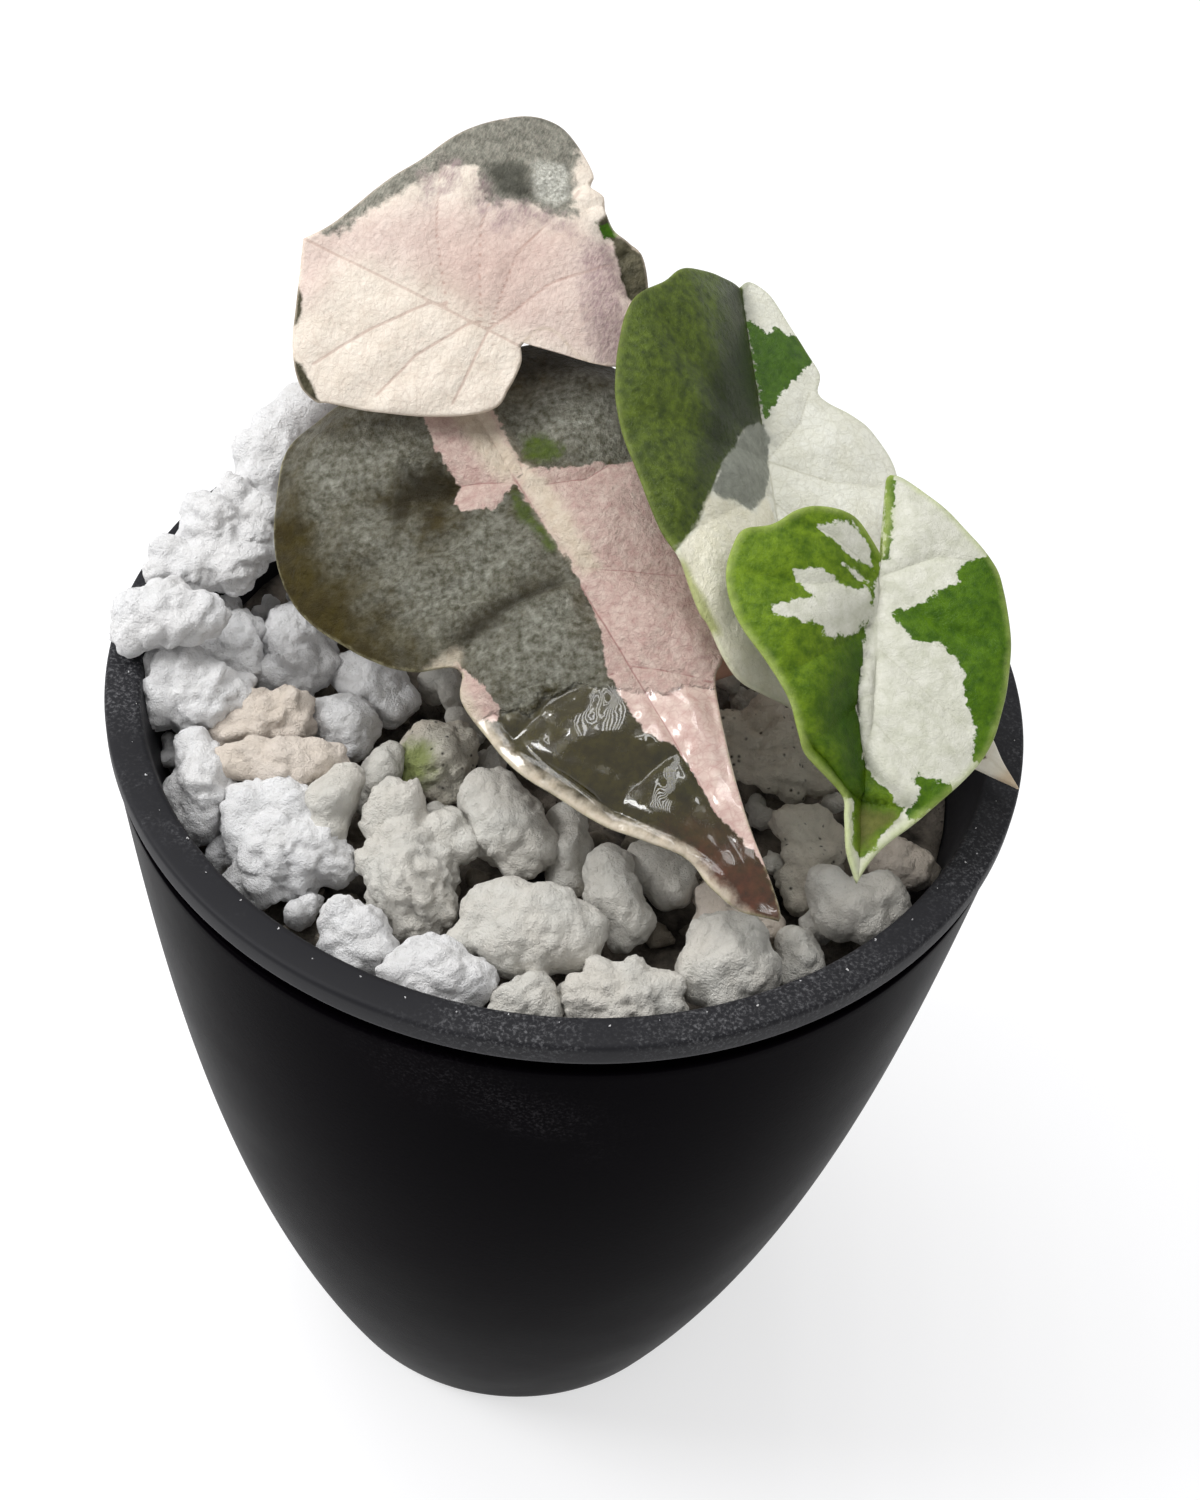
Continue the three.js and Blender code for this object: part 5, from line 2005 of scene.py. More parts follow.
@dataclass(frozen=True)
class Blade:
    """One leaf blade, a thin closed sheet.

    It lies in its own frame: u runs along the midrib from the petiole to the tip, v to the left
    of it. heading, dip and roll turn that frame, in degrees. rise and curl are how each half
    lifts off the midrib and bends back, arch bows the midrib and droop bends the lobes down.
    Patches, veins and creases are drawn in u, v too.
    """

    name: str
    slot: Slot
    junction: Point3
    heading: float
    dip: float
    roll: float
    length: float
    left: Outline
    right: Outline
    finish: BladeFinish
    sinus: float
    rise_left: float = 0.0
    curl_left: float = 0.0
    rise_right: float = 0.0
    curl_right: float = 0.0
    arch: float = 0.0
    droop: float = 0.0
    patches: dict[Field, tuple[Outline, ...]] = field(default_factory=dict)
    veins: tuple[Outline, ...] = ()
    creases: tuple[Crease, ...] = ()
    swell: float = 0.8
    swell_width: float = 2.6
    groove: float = 0.3
    ruffle: float = 0.25
    rows: int = 150
    columns: int = 30

    FLAT_MAP = "flat"
    THICKNESS = 0.7
    EDGE = 0.45
    EDGE_STEPS = 4
    SPINE_POWER = 1.6
    SPINE_END = 0.9
    MARGIN_FADE = 3.5
    RIB_HEIGHT = 0.75
    RIB_WIDTH = 0.8
    RIB_FADE = 3
    GROOVE_WIDTH = 0.55
    WAVE_SIZE = 4.2
    WAVE_FADE = 0.4
    RIPPLE_SIZE = 1.7
    RIPPLE_SHARE = 0.22
    MARGIN_STEPS = 120
    PROBE = 0.15

    def axes(self) -> tuple[np.ndarray, np.ndarray, np.ndarray]:
        """Gives the unit vectors along the midrib, to its left and out of the upper face."""
        turn, fall, lean = (math.radians(a) for a in (self.heading, self.dip, self.roll))
        along = np.array((math.cos(turn) * math.cos(fall), math.sin(turn) * math.cos(fall),
                          -math.sin(fall)))
        level = np.array((-math.sin(turn), math.cos(turn), 0.0))
        out = np.cross(along, level) * math.cos(lean) - level * math.sin(lean)
        return along, np.cross(out, along), out

    def margins(self, count: int) -> tuple[np.ndarray, np.ndarray]:
        """Gives even points of the left and the right margin, from the sinus to the tip."""
        ends = (self.sinus, 0.0), (self.length, 0.0)
        return tuple(smooth_path(np.array((ends[0], *side, ends[1])), count)
                     for side in (self.left, self.right))

    def vein_distance(self, flat: np.ndarray) -> np.ndarray:
        """Measures how far points lie from the nearest vein, the midrib included."""
        lines = (*self.veins, ((self.sinus, 0.0), (self.length, 0.0)))
        return np.min([line_distance(flat, line) for line in lines], axis=0)

    def height(self, flat: np.ndarray, edge: np.ndarray) -> np.ndarray:
        """Gives the height of the blade's middle over its own plane.

        Args:
            flat: One row of u, v for each point.
            edge: Distance of each point to the margin, in mm.

        Returns:
            The heights in mm.
        """
        u, v = flat.T
        side, ahead, behind = np.abs(v), np.maximum(u, 0), np.maximum(-u, 0)
        lift = np.where(v > 0, self.rise_left * side - self.curl_left * side ** 2,
                        self.rise_right * side - self.curl_right * side ** 2)
        lift += self.arch * ahead * (1 - ahead / self.length) - self.droop * behind ** 2
        fade = np.clip(edge / self.MARGIN_FADE, 0, 1)
        fade = fade * fade * (3 - 2 * fade)
        far = self.vein_distance(flat)
        lift += self.swell * fade * (1 - np.exp(-(far / self.swell_width) ** 2))
        lift -= self.groove * fade * np.exp(-(far / self.GROOVE_WIDTH) ** 2)
        wave = np.array([noise.noise((a, b, 3.0)) for a, b in flat / self.WAVE_SIZE])
        ripple = np.array([noise.noise((a, b, 8.0)) for a, b in flat / self.RIPPLE_SIZE])
        lift += (self.ruffle * wave * (1 - self.WAVE_FADE * fade)
                 + self.RIPPLE_SHARE * self.ruffle * ripple * fade)
        for crease in self.creases:
            lift -= crease.drop(flat)
        return lift

    def build(self, effects: Effects) -> None:
        """Makes the blade.

        Args:
            effects: The shared node groups.
        """
        flat, shares, index = self._grid()
        left, right = self.margins(self.MARGIN_STEPS)
        edge = line_distance(flat, np.vstack([left, right[::-1]]))
        middle = self._raised(flat, edge)
        step = self.PROBE
        du = self._raised(flat + (step, 0), edge) - self._raised(flat - (step, 0), edge)
        dv = self._raised(flat + (0, step), edge) - self._raised(flat - (0, step), edge)
        normal = np.cross(du, dv)
        normal /= np.linalg.norm(normal, axis=1, keepdims=True)
        rib = self.RIB_HEIGHT * np.exp(-(flat[:, 1] / self.RIB_WIDTH) ** 2)
        rib *= np.clip(1 - flat[:, 0] / self.length, 0, 1) * np.clip(edge / self.RIB_FADE, 0, 1)
        upper = middle + normal * (shares * self.THICKNESS / 2)[:, None]
        lower = middle - normal * (shares * self.THICKNESS / 2 + rib)[:, None]
        count = len(flat)
        faces = []
        for a, b, c, d in self._quads(index):
            faces.append((a, b, c, d))
            faces.append((a + count, d + count, c + count, b + count))
        made = make_object(f"blade_{self.name}", np.vstack((upper, lower)), faces,
                           self.finish.build(effects))
        both = np.vstack((flat, flat))
        for name, outlines in self.patches.items():
            depth = np.max([depth_inside(both, outline) for outline in outlines], axis=0)
            set_field(made.data, name.value, depth)
        set_field(made.data, Field.RIM.value, np.tile(-edge, 2))
        set_field(made.data, Field.MIDRIB.value, -np.abs(both[:, 1]))
        set_field(made.data, Field.VEIN.value, -self.vein_distance(both))
        self._map(made.data, both)
        shell = bmesh.new()
        shell.from_mesh(made.data)
        bmesh.ops.remove_doubles(shell, verts=shell.verts, dist=1e-7)
        shell.to_mesh(made.data)
        shell.free()
        made.data.shade_smooth()
        hand_over(made, self.slot, f"leaf_{self.name}")

    def _raised(self, flat: np.ndarray, edge: np.ndarray) -> np.ndarray:
        """Lifts flat points to the blade's middle surface, in mm."""
        along, left, out = self.axes()
        place = np.array(self.junction) + flat[:, :1] * along + flat[:, 1:] * left
        return place + self.height(flat, edge)[:, None] * out

    def _grid(self) -> tuple[np.ndarray, np.ndarray, np.ndarray]:
        """Lays points from the midrib out to both margins, close together at the margins.

        Returns:
            The flat points, the share of the thickness that each has, and the number of each
            point by row and column.
        """
        half = self.columns + self.EDGE_STEPS
        share = np.linspace(0, 1, self.rows + 1)
        start, end = self.sinus / 2, self.length * self.SPINE_END
        spine = np.column_stack((start + (end - start) * share ** self.SPINE_POWER,
                                 np.zeros(self.rows + 1)))
        flat = np.zeros((self.rows + 1, 2 * half + 1, 2))
        thick = np.ones((self.rows + 1, 2 * half + 1))
        for sign, margin in zip((1, -1), self.margins(self.rows)):
            way = margin - spine
            width = np.linalg.norm(way, axis=1, keepdims=True)
            for j in range(half + 1):
                if j <= self.columns:
                    at = (1 - self.EDGE / width) * (j / self.columns)
                    full = 1.0
                else:
                    angle = math.pi / 2 * (j - self.columns) / self.EDGE_STEPS
                    at = 1 - self.EDGE * (1 - math.sin(angle)) / width
                    full = math.cos(angle)
                flat[:, half + sign * j] = spine + way * at
                thick[:, half + sign * j] = full
        number = np.arange(flat.shape[0] * flat.shape[1]).reshape(flat.shape[:2])
        return flat.reshape(-1, 2), thick.reshape(-1), number

    @staticmethod
    def _quads(index: np.ndarray) -> list[tuple[int, int, int, int]]:
        """Lists the quads of a grid of point numbers."""
        corners = np.stack((index[:-1, :-1], index[1:, :-1], index[1:, 1:], index[:-1, 1:]), -1)
        return [tuple(quad) for quad in corners.reshape(-1, 4).tolist()]

    def _map(self, mesh: bpy.types.Mesh, flat: np.ndarray) -> None:
        """Stores the flat points, in metres, as a map that a material can read."""
        layer = mesh.uv_layers.new(name=self.FLAT_MAP)
        loops = np.zeros(len(mesh.loops), dtype=np.int32)
        mesh.loops.foreach_get("vertex_index", loops)
        layer.data.foreach_set("uv", (flat[loops] * MM).astype(np.float32).ravel())


PINK_SKIN = BladeFinish(
    "pink_and_cream",
    Layer(Field.CREAM, "EDE3D6", "DFD3C4", mottle=2.2, roughness=0.5, veins=0.7),
    (
        Layer(Field.SHADE, "C3AA9A", "A88D7C", ragged=1.0, soft=4.5, mottle=0.8, cover=0.8,
              roughness=0.5, veins=0.9),
        Layer(Field.PINK, "DFC9C0", "C9AEA8", ragged=0.8, soft=2.5, mottle=1.0, cover=0.65,
              veins=0.9),
        Layer(Field.GREY, "8C8B80", "4E4E45", reach=0.3, ragged=0.9, soft=0.5, grain=1.6,
              mottle=1.2, metal=0.35, roughness=0.32, broken=0.15),
        Layer(Field.MOTTLE, "A0858A", "7A6064", ragged=1.1, soft=1.2, grain=1.2, mottle=0.6,
              cover=0.75, broken=0.5),
        Layer(Field.DARK, "4A4A40", "2C2C26", ragged=0.5, soft=0.8, mottle=0.8, cover=0.85,
              metal=0.2, roughness=0.3),
        # a silvery spot in the grey patch: partly real, partly painted sheen
        Layer(Field.SILVER, "DEDDD4", "85857A", ragged=0.5, soft=0.7, mottle=0.35, cover=0.9,
              metal=0.3, roughness=0.33, broken=0.2),
        Layer(Field.GREEN, "5C5744", "2E2C1E", ragged=0.4, soft=0.25, mottle=0.9, metal=0.2,
              roughness=0.28),
        Layer(Field.TIP, "4E7A14", "2C5206", ragged=0.5, soft=0.2, grain=1.0),
        Layer(Field.MIDRIB, "EFE6D8", "E9DDCC", ragged=0.15, soft=0.6, cover=0.5),
        Layer(Field.RIM, "EADCCB", "B9A78F", reach=0.15, ragged=0.1, soft=0.25, mottle=0.8,
              cover=0.7),
    ),
    vein_tone="A88478",
    vein_cells=1100.0,
    vein_width=0.07,
    coarse=0.2,
    fine=0.07,
    relief_scale=1500.0,
    net=0.22,
)

COPPER_SKIN = BladeFinish(
    "copper_olive",
    Layer(Field.DARK, "4E431C", "261D08", mottle=1.8, metal=0.35, roughness=0.33),
    (
        Layer(Field.SHADE, "4E4418", "2C240A", ragged=1.2, soft=3.0, mottle=1.6, cover=0.85,
              metal=0.25, roughness=0.36),
        # silvery skin, painted lighter where lamps reflect: partly real, partly painted sheen
        Layer(Field.SILVER, "B8B8AC", "4E4C3A", reach=2.0, ragged=3.0, soft=6.0, grain=3.5,
              mottle=0.8, cover=0.95, broken=0.2, metal=0.6, roughness=0.3),
        # painted shade in hollows: an eye, a valley by a crease, a pocket by the sinus
        Layer(Field.DARK, "2B2410", "171205", ragged=1.2, soft=1.6, mottle=1.0, cover=0.85,
              metal=0.15, roughness=0.36),
        Layer(Field.GREEN, "55690F", "2F4006", ragged=0.7, soft=0.7, mottle=1.0, cover=0.85),
        Layer(Field.WET, "3E3814", "221C06", ragged=1.2, soft=0.5, mottle=1.4, cover=0.96,
              roughness=0.25),
        Layer(Field.TIP, "5A2E1A", "331809", ragged=1.2, soft=5.0, mottle=1.0, cover=0.95,
              roughness=0.25),
        Layer(Field.PINK, "DECBBF", "C09E96", ragged=0.45, soft=0.14, grain=1.2, mottle=1.0,
              roughness=0.42, veins=1.0),
        Layer(Field.CREAM, "E6DBC8", "CDBDA6", ragged=0.5, soft=0.9, grain=1.2, mottle=0.9,
              cover=0.85),
        Layer(Field.RIM, "CFC9A6", "8B8458", reach=0.05, ragged=0.2, soft=0.3, grain=1.0,
              mottle=0.7, cover=0.9),
    ),
    vein_tone="A0706C",
    vein_cells=1150.0,
    vein_width=0.08,
    coarse=0.55,
    fine=0.3,
    relief_scale=1300.0,
    net=0.22,
    specular=0.25,
    wet=True,
)

DARK_GREEN_SKIN = BladeFinish(
    "dark_green_and_white",
    Layer(Field.WHITE, "F5F5EA", "E8E7D6", mottle=4.0, roughness=0.5, veins=0.6),
    (
        Layer(Field.DARK, "5C6E1A", "253404", ragged=0.35, soft=0.2, mottle=1.1, metal=0.05,
              roughness=0.33),
        Layer(Field.SHADE, "26320A", "0F1603", ragged=0.8, soft=2.5, mottle=1.0, cover=0.9,
              metal=0.1, roughness=0.28),
        Layer(Field.GREY, "93968A", "74776C", ragged=0.5, soft=0.2, mottle=1.2,
              roughness=0.34),
        Layer(Field.CREAM, "F6F2E0", "E6E1C8", ragged=0.6, soft=0.5, mottle=1.6, veins=0.4),
        Layer(Field.GREEN, "4F7414", "2C4E06", ragged=0.6, soft=0.12, grain=0.9, mottle=1.0,
              roughness=0.38),
        Layer(Field.TIP, "A8AE4C", "8F9638", ragged=0.3, soft=0.6, cover=0.7),
        Layer(Field.RIM, "94A054", "6F7E32", reach=0.2, ragged=0.15, soft=0.7, cover=0.5),
    ),
    vein_tone="B2AE92",
    vein_cells=800.0,
    vein_width=0.10,
    coarse=0.22,
    fine=0.12,
    specular=0.3,
)

BRIGHT_GREEN_SKIN = BladeFinish(
    "bright_green_and_white",
    Layer(Field.GREEN, "738F1C", "385607", mottle=1.2, roughness=0.33),
    (
        Layer(Field.SHADE, "34560A", "1C3802", ragged=0.8, soft=3.0, mottle=1.4, cover=0.9,
              roughness=0.34),
        Layer(Field.WHITE, "DCDBD0", "BFC0AE", ragged=0.5, soft=0.14, grain=1.0, mottle=1.6,
              roughness=0.5, veins=0.4),
        Layer(Field.DARK, "55780E", "2A4C04", ragged=0.5, soft=0.12, grain=0.9, mottle=1.2,
              roughness=0.34),
        Layer(Field.TIP, "6A6C34", "4A501C", reach=-0.6, ragged=0.5, soft=0.8, mottle=1.0),
        Layer(Field.RIM, "C3CF84", "93A64A", reach=0.35, ragged=0.25, soft=0.8, cover=0.75),
    ),
    vein_tone="A3A58C",
    vein_cells=800.0,
    vein_width=0.10,
    coarse=0.16,
    fine=0.1,
)

SMALL_WHITE_SKIN = BladeFinish(
    "cream_white",
    Layer(Field.WHITE, "EAE6DA", "D9D0BF", mottle=2.0, roughness=0.5, veins=0.3),
    (
        Layer(Field.DARK, "6A5A3A", "4A3C26", ragged=0.2, soft=0.15),
        Layer(Field.TIP, "CDB89A", "B99F7E", ragged=0.3, soft=0.8, cover=0.8),
    ),
    vein_tone="BFB79F",
)

BLADES = (
    Blade(
        "pink", Slot.PINK, (-13.0, 21.5, 151.0), 164.0, -13.0, -40.0, 23.0,
        left=((-4.8, 1.4), (-5, 3.4), (-4.9, 5), (-4.7, 6.9), (-3, 8.8), (1.2, 11.2),
              (7, 13.5), (12.5, 15), (14, 15.5), (16.5, 14.5), (19, 11), (21, 5.5)),
        right=((-4.9, -2.6), (-6.8, -3.2), (-8.6, -2.5), (-10.4, -1.9), (-12.3, -2.1),
               (-14.6, -3), (-15.8, -4.7), (-15.8, -8.5), (-13.6, -12.8), (-11.4, -15.7),
               (-9.4, -16.4), (-7.2, -17), (-5.4, -18.4), (-4.5, -19.8), (-2.6, -20.2),
               (-2.3, -21.7), (1, -24.2), (4.5, -25.5), (8.4, -24.2), (12.7, -19.6),
               (15, -14.8), (18, -9.2), (20.6, -3.4)),
        finish=PINK_SKIN, sinus=-4.0, rise_left=0.02, curl_left=0.009, rise_right=0.12,
        curl_right=0.013, arch=0.05, droop=0.006,
        patches={
            Field.GREY: (((22, -2), (20, -2.5), (17, -7.5), (14, -12), (13, -14.5),
                          (9.5, -16), (7.5, -14), (5.5, -13), (4, -14.5), (0, -15.5),
                          (-2.5, -16), (-1, -19), (0.5, -22), (1, -24), (4, -27), (14, -20),
                          (20, -8)),),
            Field.DARK: (((8.5, -16.5), (6.5, -18.5), (4.5, -19), (2.5, -15), (6, -14.5)),),
            # silvery spot, partly painted sheen
            Field.SILVER: (((4.5, -19.5), (1, -21), (-1, -18), (-0.5, -16), (2, -16)),),
            Field.MOTTLE: (
                ((9.5, -14.5), (8, -15), (6.5, -13), (6, -10.5), (8, -12.5)),
                ((6, -13), (3.5, -14.5), (-2.5, -15), (-3, -14), (2.5, -13), (4, -10)),
                ((13, -14.5), (11.5, -15.5), (10, -12), (11.5, -11.5)),
                ((14.5, -12), (13, -12.5), (12, -10), (13.5, -10)),
                ((-5, -14), (-7.5, -15.5), (-10, -12.5), (-13, -8), (-16, -3), (-12.5, -2.5),
                 (-9, -6), (-5.5, -12)),
            ),
            Field.SHADE: (((10, -7), (4, -11), (-3, -14), (-3, -7), (-1.5, -2.5), (4.5, -1.5),
                           (8.5, -3)),),
            Field.PINK: (((24, 0), (19.5, -4), (12, -10), (4, -13), (-10, -15), (-17, -6),
                          (-14, -2), (-3, -1), (8, -3), (18, 0), (19, 6), (21, 7)),),
            Field.GREEN: (
                ((-5, -16.5), (-6, -16), (-8, -15.5), (-10, -12.5), (-12.5, -10), (-16, -10),
                 (-12, -20), (-6, -20)),
                ((21.5, 5), (20.5, 9.5), (19.3, 9), (20, 6)),
                ((18.5, 12.5), (17, 12.3), (15.5, 13.5), (13.5, 15.3), (15, 17)),
            ),
            Field.TIP: (((-5.2, -16.3), (-6.4, -17.6), (-7.8, -16.8), (-6.5, -15.6)),),
        },
        creases=(
            Crease(((-5, -17), (-7.1, -14.8), (-8.7, -13.6), (-10.2, -12.3), (-13.5, -9.5)),
                   1.0, 3.5, 0.5),
            Crease(((-7.2, -14.6), (-7.9, -16.6)), 0.5, 0.5, 0.5),
            Crease(((-9.0, -13.2), (-10.3, -16.4)), 0.5, 0.5, 0.5),
            Crease(((9, -10), (5, -14.5), (-2, -17.5), (-5, -16.5)), 0.4, 0.8, 0.8),
            Crease(((-0.5, -17.5), (-2.5, -21)), 0.35, 0.5, 0.5),
            Crease(((-3, -17.2), (-5.2, -19)), 0.35, 0.5, 0.5),
        ),
        veins=(((0, 0), (-4, -8), (-9, -13)), ((0, 0), (1, -9), (-2, -19)),
               ((1, 0), (6, -10), (7, -20)), ((5, 0), (10, -7), (13, -14)),
               ((0, 0), (0, 5), (0, 9)), ((2, 0), (6, 6), (8, 12)), ((7, 0), (12, 6), (16, 12))),
        swell=0.2, groove=0.05, ruffle=0.45,
    ),
    Blade(
        "copper", Slot.COPPER, (-8.5, 11.0, 139.0), -55.0, 16.0, 19.0, 59.0,
        left=((-15, 5), (-15.5, 10), (-13.5, 12), (-11.5, 14.5), (-8.5, 17), (-4, 19.5),
              (2, 20), (9.5, 18), (17, 14.5), (24, 11), (30.5, 9.5), (33.5, 7), (46, 3),
              (57, 1)),
        right=((-16.5, -3), (-19, -8), (-19.5, -14), (-18, -20.5), (-11, -25.5), (-5, -28),
               (2, -28), (10, -24.5), (15, -20.5), (17.5, -16), (21, -17.5), (26.5, -17),
               (31.5, -16), (36.5, -13.5), (41, -11), (45.5, -7.5), (49, -5), (52.5, -4.5),
               (56, -3)),
        finish=COPPER_SKIN, sinus=-11.0, rise_left=-0.05, curl_left=0.008, rise_right=0.0,
        curl_right=0.004, arch=0.12, droop=0.004,
        patches={
            Field.PINK: (
                ((0.5, -0.5), (4.5, 0), (13, 0.5), (20.5, -0.5), (27.5, -2.5), (34.5, -2.5),
                 (38, 0), (45.5, 0), (49.5, 1), (55.5, 1.5), (60, 0.5), (60, 6), (40, 12),
                 (20, 20), (6, 22), (4.5, 12), (3, 9), (2, 6), (0, 2)),
                ((-16, -4.5), (-8, -6), (-2.5, -5.5), (-1, -7), (1, -7), (2.5, -4),
                 (1.5, -1.5), (0.5, -0.5), (0, 2), (-2, 1.5), (-16, 2.5)),
                ((16.5, -16), (19, -15), (24, -14), (25, -15.5), (24, -18), (17, -19)),
            ),
            Field.CREAM: (
                ((-2, 1.2), (2, 0.2), (8, 0.3), (15, 0.8), (15, 3), (8, 3), (2, 3)),
                ((-14, -2.5), (-4, -2.5), (0, -1), (0, 1.5), (-14, 1.5)),
                ((15.5, -15), (19, -16.6), (26.5, -16.2), (31.3, -15.1), (36.2, -12.6),
                 (40.5, -10.1), (45, -6.6), (48.6, -4.3), (52, -3.8), (57, -2.4), (57, -8),
                 (45, -16), (30, -22), (16, -20)),
            ),
            # silvery skin with painted sheen where the lamps reflect
            Field.SILVER: (
                ((-14.5, -19), (-13.5, -13), (-11, -6.5), (-8.5, -8), (-8.5, -13),
                 (-7, -16.5), (0, -15.5), (5.5, -13.5), (4, -9.5), (3, -4), (7, -1.5),
                 (11.5, -1.5), (11.5, -4.5), (12, -10.5), (13, -16.5), (8.5, -17.5),
                 (-7, -18.5), (-11, -20)),
                ((16, -12.5), (15.5, -5.5), (16.5, -1.5), (20, -1.5), (24, -3), (27.5, -3.5),
                 (26, -6.5), (25, -10), (26, -12), (22, -14), (17.5, -14.5)),
                ((-8.5, 3), (-9.5, 8.5), (-8.4, 12), (-4.5, 16), (4, 13), (1.3, 6.8), (-3.6, 3.8)),
            ),
            Field.SHADE: (((-9, -24), (-14, -20), (-8, -21), (2, -23), (9, -20), (14, -16),
                           (17.5, -13), (17, -18), (8, -27), (-6, -30)),),
            # hollows darkened with painted shade
            Field.DARK: (
                ((-7.5, -10), (-6, -6.5), (-2.5, -5.5), (-1, -7.5), (-2.5, -11), (-1.5, -14),
                 (-5, -13)),
                ((13, -2), (12.5, -9), (14, -15), (15.5, -15), (15, -2)),
                ((-17, 6), (-12, 5), (-10, 10), (-8, 15), (-8, 18), (-16, 14)),
            ),
            Field.GREEN: (
                ((-4.5, 3), (-3.5, 5), (-0.5, 6.5), (1, 5), (-0.5, 2.5)),
                ((0.5, -0.8), (5, -0.4), (10, 0), (10, -1.2), (4, -2)),
                ((36.5, -2), (38.5, 0), (45, -0.3), (43, -2), (40, -3.5)),
            ),
            Field.WET: (
                ((24.5, -19), (24, -15), (26.5, -12), (25, -10), (26, -6.5), (27.5, -4),
                 (29.5, -2), (32, 3), (34, 9), (62, 4), (62, -6), (45, -10), (27.5, -20)),
            ),
            Field.TIP: (((47, -8), (48, -3), (50, -0.5), (53, 1.5), (62, 1.5), (62, -7)),),
        },
        veins=(((0, -1), (-4, -8), (-4, -13), (-7, -23)), ((3, -1), (4, -9), (0, -22)),
               ((5, -1), (9, -10), (8, -20)), ((15, 0), (14, -5), (14.5, -10), (16.5, -16.5)),
               ((27, -2), (26, -9), (28, -15)), ((38, -1), (39, -6), (41, -10)),
               ((0, 1), (-5, 3), (-9, 6), (-13, 11)), ((2, 1), (4, 7), (3, 18)),
               ((14, 1), (18, 7), (21, 12)), ((27, 0), (31, 5), (33, 7))),
        creases=(
            Crease(((10.2, -14), (10.8, -9), (11.2, -2.6), (12.6, 1)), 0.8, 1.5, 2.2),
            Crease(((14.5, -13), (15.4, -6.9), (16.6, -0.5)), -0.6, 1.3, 1.8),
            Crease(((17.6, -4.6), (18.6, -2.8)), 0.7, 0.9, 0.9),
            Crease(((-7.5, -11), (-5.5, -8), (-1.5, -7), (0.5, -10)), 1.1, 2.2, 3.2),
            Crease(((15, -15.8), (20, -15.4), (27, -14.8), (34, -12.2), (41, -8.6), (49, -3.4),
                    (55, -2)), 0.5, 0.9, 0.5),
        ),
        swell=1.2, swell_width=3.2, groove=0.3, ruffle=0.7, rows=190, columns=40,
    ),
    Blade(
        "dark_green", Slot.DARK_GREEN, (19.5, 16.0, 141.0), -77.0, 28.0, -15.0, 29.5,
        left=((-23, 1.5), (-22, 3.5), (-20, 5), (-16.5, 6.5), (-12, 9), (-9, 8.5), (-7, 12.5),
              (-5, 15.5), (-0.5, 18), (5.5, 17.5), (11, 13.5), (16, 10), (22, 6.5), (27, 3)),
        right=((-22, -2.5), (-21, -9.5), (-18.5, -13), (-15.5, -17.5), (-9.5, -20),
               (-3.5, -21), (1.5, -20.5), (6, -19.5), (11.5, -18), (15.5, -16),
               (20.5, -14.5), (22, -13.5), (26, -11.5), (28, -9), (29, -4.5)),
        finish=DARK_GREEN_SKIN, sinus=-22.0, curl_left=0.004, rise_right=0.75,
        curl_right=0.022, arch=0.1, droop=0.002,
        patches={
            Field.DARK: (((-25, -24), (-25, 0.3), (-21, 0.2), (-3, 0.2), (-3, -3.5), (-1, -5.5),
                          (0.5, -6), (2.5, -8.5), (6.5, -11), (11, -13.5), (13.5, -16),
                          (16, -18), (0, -24)),),
            Field.SHADE: (((-24, 0.5), (-24, -3), (-16, -5), (-8, -9), (0, -11), (8, -14),
                           (2.5, -8), (-1, -5), (-3, 0.5)),),
            Field.GREY: (((-5, 0.6), (-2.5, 0.6), (1, 0), (5, -2), (8, -5), (7, -7.5),
                          (7.5, -9.5), (7, -11.5), (4.5, -10), (2.5, -8.5), (0.5, -6),
                          (-1, -5.5), (-3, -3.5)),),
            Field.CREAM: (((5, -1.5), (8, -5), (7, -7.5), (7.5, -9.5), (7, -11.5), (11, -13.5),
                           (13.5, -16), (16, -18), (32, -12), (32, 0), (12, 0)),),
            Field.GREEN: (((-17.5, 0.2), (-17.5, 1), (-16, 2.5), (-17, 4), (-16, 5),
                           (-16.5, 6), (-15.5, 9), (-14, 9), (-12, 7), (-10.5, 5),
                           (-8.5, 3), (-7, 2), (-5, 0.6), (-12, 0.3)),),
            Field.TIP: (((16, -18), (15, -16), (19.5, -13.6), (23, -12), (23, -14)),),
        },
        veins=(((0, 0), (-6, -8), (-14, -14)), ((0, 0), (0, -8), (-2, -18)),
               ((4, 0), (8, -8), (12, -15)), ((11, 0), (17, -7), (22, -11)),
               ((0, 0), (-5, 5), (-9, 7)), ((0, 0), (2, 8), (2, 15)), ((5, 0), (10, 6), (14, 9)),
               ((13, 0), (18, 4), (21, 6))),
        swell=0.55, groove=0.15, ruffle=0.3,
    ),
    Blade(
        "bright_green", Slot.BRIGHT_GREEN, (32.0, -1.5, 141.0), -90.0, 30.0, -8.0, 33.5,
        left=((-6.5, 0.5), (-12, 0.5), (-9.5, 5.5), (-4, 11.5), (-0.5, 13.5), (5.5, 14.5),
              (12.5, 14), (19, 12), (25.5, 6.5), (30, 2)),
        right=((-4, -1.5), (-6, -4), (-6, -8), (-5, -10.5), (-3, -13), (-2, -16), (0, -17),
               (3, -17.5), (6, -17), (9, -15.5), (12, -13), (16, -10), (19.5, -8.5),
               (21.5, -7), (24.5, -2.5), (27, -2), (30.5, -1.5)),
        finish=BRIGHT_GREEN_SKIN, sinus=-2.5, rise_left=0.25, curl_left=0.01, rise_right=0.55,
        curl_right=0.022, arch=0.14, droop=0.004,
        patches={
            Field.SHADE: (((4, 0), (8, -4), (16, -7), (24, -3), (25, 1), (14, 0)),),
            Field.WHITE: (
